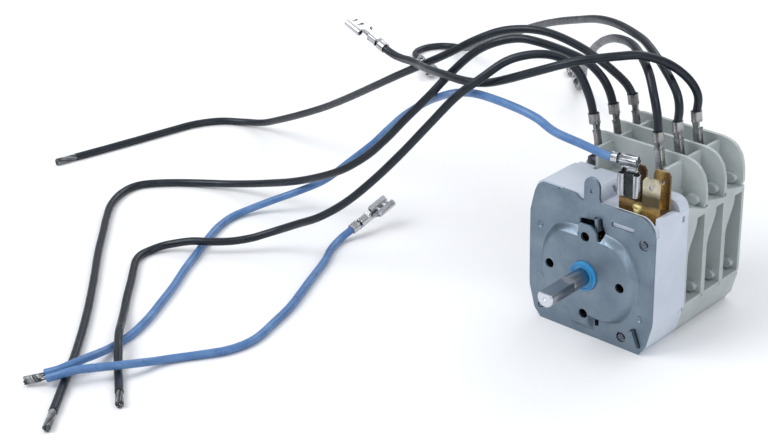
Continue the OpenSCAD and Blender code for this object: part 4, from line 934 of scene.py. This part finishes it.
def press_height(x, z):
    field = 3.0 * step_up(field_depth(x, z), 3.1)
    pad = 3.0 * step_up(x + 4.2, 1.8) * step_up(5.6 - x, 1.0) * (z > 8)
    pad = np.where((z > 18.42) | ((x > 5.0) & (z > 13.2)) | ((x > 4.65) & (z > 14.8)), 0, pad)
    bridge = 3.0 * np.minimum(step_up(inside_both(x + 6.6, 2.6 - x, 1.0), 1.2), step_up((z + 20.9), 4.6))
    bridge = np.where(z < -8, bridge, 0)
    h = np.maximum(np.maximum(field, pad), bridge)
    h = h + 0.3 * step_up(1.8 - np.hypot(x + 20.2, z + 7.4), 0.8)
    for cx, cz in ((-20.2, 11.3), (20.1, -10.3)):
        h = h - 0.5 * step_up(1.35 - np.hypot(x - cx, z - cz), 0.8)
    h = h + 0.035 * np.sin(x * 0.21 + 0.6) * np.cos(z * 0.17) - 0.035
    return h


def loop_distance(x, z, loops):
    best = np.full(x.shape, 1e9)
    for loop in loops:
        for i in range(len(loop)):
            ax, az = loop[i]
            bx, bz = loop[(i + 1) % len(loop)]
            dx, dz = bx - ax, bz - az
            t = np.clip(((x - ax) * dx + (z - az) * dz) / max(dx * dx + dz * dz, 1e-12), 0, 1)
            best = np.minimum(best, np.hypot(x - ax - t * dx, z - az - t * dz))
    return best


def in_loop(x, z, loop):
    inside = np.zeros(x.shape, bool)
    for i in range(len(loop)):
        ax, az = loop[i]
        bx, bz = loop[(i + 1) % len(loop)]
        if az == bz:
            continue
        cross = (az > z) != (bz > z)
        inside ^= cross & (x < (bx - ax) * (z - az) / (bz - az) + ax)
    return inside


def inset(loop, d):
    """A loop moved d into the metal, which lies to the left of its run."""
    out = []
    for i in range(len(loop)):
        p, a, b = Vector(loop[i]), Vector(loop[i - 1]), Vector(loop[(i + 1) % len(loop)])
        n0 = Vector((-(p - a).y, (p - a).x)).normalized()
        n1 = Vector((-(b - p).y, (b - p).x)).normalized()
        n = (n0 + n1)
        n = n / max(n.length_squared / 2, 0.5)
        out.append(tuple(p + n * d))
    return out


def make_front_plate(mat):
    edge, holes = plate_loops()
    holes = [list(reversed(q)) for q in holes]
    loops = [edge] + holes
    pts, segs = [], []

    def add_loop(q):
        n = len(pts)
        pts.extend(Vector(p) for p in q)
        segs.extend((n + i, n + (i + 1) % len(q)) for i in range(len(q)))

    for q in loops:
        add_loop(q)
        if len(q) > 5:
            add_loop(inset(q, 0.10))
            add_loop(inset(q, 0.22))
    # rings that follow the raised field's side
    for k in range(11):
        want = -0.05 + 0.33 * k
        ring = []
        for i in range(190):
            a = 2 * math.pi * i / 190
            lo, hi = 4.0, 25.0
            for _ in range(28):
                mid_r = (lo + hi) / 2
                if field_depth(np.array(mid_r * math.cos(a)), np.array(mid_r * math.sin(a))) > want:
                    lo = mid_r
                else:
                    hi = mid_r
            ring.append((lo * math.cos(a), lo * math.sin(a)))
        add_loop(ring)
    for k in range(7):
        pts.extend(Vector((-5.0 + 0.18 * k, z)) for z in np.arange(12.4, 17.6, 0.3))
    for cx, cz in ((-20.2, 11.3), (20.1, -10.3), (-20.2, -7.4)):
        for r in (1.8, 1.6, 1.4, 1.2, 1.0, 0.75, 0.5, 0.25):
            pts.extend(Vector(p) for p in circle_points(cx, cz, r, 24))
    xs = np.arange(-24.0, 24.3, 0.95)
    zs = np.arange(-23.0, 33.6, 0.95)
    gx, gz = np.meshgrid(xs, zs)
    gx, gz = gx.ravel(), gz.ravel()
    fx, fz = np.meshgrid(np.arange(-7.2, 3.4, 0.3), np.arange(-21.2, -11.6, 0.3))
    gx, gz = np.concatenate([gx, fx.ravel()]), np.concatenate([gz, fz.ravel()])
    have = np.array([tuple(p) for p in pts])
    ok = in_loop(gx, gz, edge)
    for q in holes:
        ok &= ~in_loop(gx, gz, q)
    ok &= loop_distance(gx, gz, loops) > 0.3
    for x, z in zip(gx[ok], gz[ok]):
        if np.min(np.hypot(have[:, 0] - x, have[:, 1] - z)) > 0.14:
            pts.append(Vector((x, z)))
    from mathutils.geometry import delaunay_2d_cdt
    vs, _, tris, _, _, _ = delaunay_2d_cdt(pts, segs, [], 0, 1e-4)
    v2 = np.array([(p[0], p[1]) for p in vs])
    tri = np.array([t for t in tris if len(t) == 3])
    c = v2[tri].mean(axis=1)
    keep = in_loop(c[:, 0], c[:, 1], edge)
    for q in holes:
        keep &= ~in_loop(c[:, 0], c[:, 1], q)
    tri = tri[keep]
    used = np.unique(tri)
    back = -np.ones(len(v2), int)
    back[used] = np.arange(len(used))
    v2, tri = v2[used], back[tri]
    a, b2, c2 = v2[tri[:, 0]], v2[tri[:, 1]], v2[tri[:, 2]]
    area2 = (b2[:, 0] - a[:, 0]) * (c2[:, 1] - a[:, 1]) - (b2[:, 1] - a[:, 1]) * (c2[:, 0] - a[:, 0])
    tri = np.where((area2 < 0)[:, None], tri[:, ::-1], tri)
    n = len(v2)

    def front(x, z):
        d = loop_distance(x, z, loops)
        return press_height(x, z) - 0.13 * np.clip(1 - d / 0.22, 0, 1) ** 2

    x, z = v2[:, 0], v2[:, 1]
    h = front(x, z)
    e = 0.03
    hx = (press_height(x + e, z) - press_height(x - e, z)) / (2 * e)
    hz = (press_height(x, z + e) - press_height(x, z - e)) / (2 * e)
    edges = {}
    for t in tri.tolist():
        for i, j in ((t[0], t[1]), (t[1], t[2]), (t[2], t[0])):
            if (j, i) in edges:
                edges[(j, i)] = 0
            else:
                edges[(i, j)] = 1
    rim = [k for k, val in edges.items() if val]
    # outward direction in the plane at each rim vertex
    out_dir = {}
    for i, j in rim:
        d = v2[j] - v2[i]
        nn = np.array([d[1], -d[0]]) / max(np.hypot(*d), 1e-9)
        out_dir.setdefault(i, []).append(nn)
        out_dir.setdefault(j, []).append(nn)
    verts = [(px, -ph, pz) for px, ph, pz in zip(x, h, z)] + [(px, -max(ph, -0.1) + 1.0, pz) for px, ph, pz in zip(x, press_height(x, z), z)]
    faces = [tuple(t) for t in tri.tolist()] + [tuple(i + n for i in t[::-1]) for t in tri.tolist()]
    nf = len(faces)
    faces += [(j, i, i + n, j + n) for i, j in rim]
    ob = new_mesh("pressed_plate", [PLACE_MM @ Vector(v) * MM for v in verts], faces, mat, 180)
    me = ob.data
    fn = np.stack([-hx, -np.ones(n), -hz], 1)
    for i, ds in out_dir.items():
        m2 = np.mean(ds, axis=0)
        k = np.hypot(*m2)
        if k > 0.3:
            fn[i] += 1.25 * np.array([m2[0], 0, m2[1]]) / k
    fn /= np.linalg.norm(fn, axis=1)[:, None]
    bn = np.stack([hx, np.ones(n), hz], 1)
    bn /= np.linalg.norm(bn, axis=1)[:, None]
    normals = [None] * len(me.loops)
    for poly in me.polygons:
        vi = list(poly.vertices)
        if poly.index < nf // 2:
            for li, v_ in zip(poly.loop_indices, vi):
                normals[li] = tuple(fn[v_])
        elif poly.index < nf:
            for li, v_ in zip(poly.loop_indices, vi):
                normals[li] = tuple(bn[v_ - n])
        else:
            base = np.array(poly.normal)
            for li, v_ in zip(poly.loop_indices, vi):
                ds = out_dir.get(v_ % n, [])
                m2 = np.mean(ds, axis=0) if len(ds) else np.zeros(2)
                w3 = np.array([m2[0], 0, m2[1]])
                k = np.linalg.norm(w3)
                normals[li] = tuple(w3 / k) if k > 0.85 and np.dot(w3 / k, base) > 0.6 else tuple(base)
    me.normals_split_custom_set(normals)
    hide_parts("front_plate")
    return ob


make_front_plate(ZINC)

# ------------------------------------------------------------------ flag receptacle

FLAG = PLACE_MM @ Matrix.Translation((11.3, 4.3, 1.6)) @ Matrix.Rotation(math.radians(10), 4, "Z")


def make_flag():
    b = Build()
    U, V, Z = Vector((-1, 0, 0)), Vector((0, -1, 0)), Vector((0, 0, 1))
    X = Vector((1, 0, 0))
    st = []
    for z, half in ((27.85, 3.66), (28.05, 3.78), (31.0, 3.8), (35.1, 3.8), (35.45, 3.7)):
        st.append((Z * z, U, V, roll_profile(half, -0.9, 1.14)))
    v, f = sheet_data(st, 0.42)
    b.add(v, f, FLAG, 5)
    # neck up to the barrel that lies across
    st = []
    for z, w, y, rise in ((35.2, 3.2, -0.86, 0.0), (35.9, 3.15, -0.84, 0.35), (36.6, 2.75, -0.75, 0.75), (37.3, 2.55, -0.62, 0.7), (38.0, 2.5, -0.48, 0.35), (38.7, 2.5, -0.30, 0.0)):
        pts = [(-w, y + rise), (-w * 0.95, y + rise * 0.4), (-w * 0.8, y + rise * 0.05), (-w * 0.4, y), (0, y), (w * 0.4, y), (w * 0.8, y + rise * 0.05), (w * 0.95, y + rise * 0.4), (w, y + rise)]
        st.append((Z * z, U, V, pts))
    v, f = sheet_data(st, 0.38)
    b.add(v, f, FLAG)
    lean = math.radians(28)
    U2, V2 = Vector((0, math.cos(lean), math.sin(lean))), Vector((0, -math.sin(lean), math.cos(lean)))
    base = Vector((0, 0, 40.0))
    # conductor crimp
    st = []
    for x, g in ((-2.85, 1.10), (-2.5, 1.03), (-2.0, 1.0), (1.9, 1.0), (2.4, 1.03), (2.8, 1.10)):
        st.append((base + X * x, U2, V2, [(p[0] * g, p[1] * g) for p in b_profile(1.42, -1.38, 2.7)]))
    v, f = sheet_data(st, 0.38)
    b.add(v, f, FLAG)
    # bridge
    st = []
    for x, w, y in ((-4.1, 1.35, -1.5), (-3.5, 1.15, -1.42), (-2.7, 1.2, -1.34)):
        pts = [(-w, y + 0.85), (-w * 0.9, y + 0.3), (-w * 0.5, y + 0.03), (0, y), (w * 0.5, y + 0.03), (w * 0.9, y + 0.3), (w, y + 0.85)]
        st.append((base + X * x, U2, V2, pts))
    v, f = sheet_data(st, 0.36)
    b.add(v, f, FLAG)
    # insulation crimp
    st = []
    for x, w, curl in ((-6.1, 1.66, 84), (-5.8, 1.62, 92), (-4.3, 1.62, 92), (-3.95, 1.68, 84)):
        st.append((base + X * x, U2, V2, wing_profile(w, -w, 0, curl, 12)))
    v, f = sheet_data(st, 0.32)
    b.add(v, f, FLAG)
    line = [FLAG @ (base + X * x) for x in (-4.6, -3.8, -2.0, 0.0, 2.0, 3.2)]
    strand_bundle(b, line, 3, 0.165, 0.3, 0.02, 91, index=1, loose=0.02, ragged=0.5)
    ob = b.make("crimp_flag", [FLAG_BARREL] + STRANDS + [FLAG_ROLLS], 40, "case", MM)
    soften(ob, 0.05, 1, 50)
    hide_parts("flag_receptacle")
    return ob


make_flag()

# ------------------------------------------------------------------ cords: each lead's diameter is picked, and nothing more is done with it

for key, far in (("lead_left_1", "bare"), ("lead_left_2", "bare"), ("lead_left_3", "bare"), ("lead_right_1", "connector"), ("lead_right_2", "connector"), ("lead_right_3", "connector"), ("lead_blue_main", "bare"), ("lead_blue_branch", "connector")):
    d = BLUE_D if "blue" in key else LEAD_D

# ------------------------------------------------------------------ carried-over nodes


def dress(name, mat, width=0.12, segments=2, angle=32):
    ob = nodes[name]
    ob.data.materials.clear()
    ob.data.materials.append(mat)
    if width:
        soften(ob, width, segments, angle, weld=True)


dress("shaft_bush", BUSH, 0.12)
dress("control_shaft", SHAFT, 0.12)
dress("main_housing", CASE, 0.18)
for k in (1, 2, 3):
    dress(f"wafer_{k}", WAFER, 0.16)
    dress(f"cam_{k}", CAM, 0.1)
    dress(f"blade_{k}", BRASS, 0.05)
dress("rear_screws", ZINC, 0.1)
dress("movement_plate", ZINC, 0.1)
dress("main_wheel", BRASS, 0.05)
dress("second_wheel", BRASS, 0.04)
dress("escape_wheel", BRASS, 0.04)
dress("anchor", ZINC, 0.05)
dress("mainspring", SPRING, 0.05)
dress("neutral_strip", STRIP, 0.12)
dress("locating_pins", PIN, 0.08)

# ------------------------------------------------------------------ floor and light

me = bpy.data.meshes.new("floor")
me.from_pydata([(-6, -6, 0), (6, -6, 0), (6, 6, 0), (-6, 6, 0)], [], [(0, 1, 2, 3)])
floor = bpy.data.objects.new("floor", me)
bpy.context.scene.collection.objects.link(floor)
fm = bpy.data.materials.new("floor")
fm.use_nodes = True
fm.node_tree.nodes["Principled BSDF"].inputs["Base Color"].default_value = (0.86, 0.86, 0.87, 1)
fm.node_tree.nodes["Principled BSDF"].inputs["Roughness"].default_value = 0.75
fm.node_tree.nodes["Principled BSDF"].inputs["Specular IOR Level"].default_value = 0.2
me.materials.append(fm)

world = bpy.data.worlds.new("world")
bpy.context.scene.world = world
world.use_nodes = True
wn = world.node_tree
tc = wn.nodes.new("ShaderNodeTexCoord")
ws = wn.nodes.new("ShaderNodeSeparateXYZ")
wn.links.new(tc.outputs["Generated"], ws.inputs[0])
wr = wn.nodes.new("ShaderNodeValToRGB")
stops = [(0.0, (0.20, 0.22, 0.25)), (0.16, (0.30, 0.33, 0.37)), (0.42, (0.92, 0.95, 0.99)), (0.80, (1.02, 1.05, 1.08))]
while len(wr.color_ramp.elements) < len(stops):
    wr.color_ramp.elements.new(0.5)
for e, (pos, c) in zip(wr.color_ramp.elements, stops):
    e.position = pos
    e.color = (*c, 1)
wn.links.new(ws.outputs["Z"], wr.inputs["Fac"])
wn.links.new(wr.outputs["Color"], wn.nodes["Background"].inputs["Color"])
wn.nodes["Background"].inputs["Strength"].default_value = 0.80


def area(name, loc, target, size, power, colour=(1, 1, 1)):
    d = bpy.data.lights.new(name, "AREA")
    d.shape = "RECTANGLE"
    d.size, d.size_y = size
    d.energy = power
    d.color = colour
    o = bpy.data.objects.new(name, d)
    bpy.context.scene.collection.objects.link(o)
    o.location = loc
    o.rotation_euler = (Vector(target) - Vector(loc)).to_track_quat("-Z", "Y").to_euler()
    return o


area("key", (-0.55, -0.75, 1.0), (-0.05, 0, 0.03), (0.8, 0.8), 9)
area("fill", (1.0, -0.4, 0.55), (0, 0, 0.03), (0.7, 0.7), 3.2, (0.95, 0.97, 1))
area("rim", (-0.2, 1.0, 0.8), (-0.05, 0, 0.03), (0.9, 0.6), 3.5)

bpy.context.scene.view_settings.view_transform = "Standard"
bpy.context.scene.view_settings.look = "None"
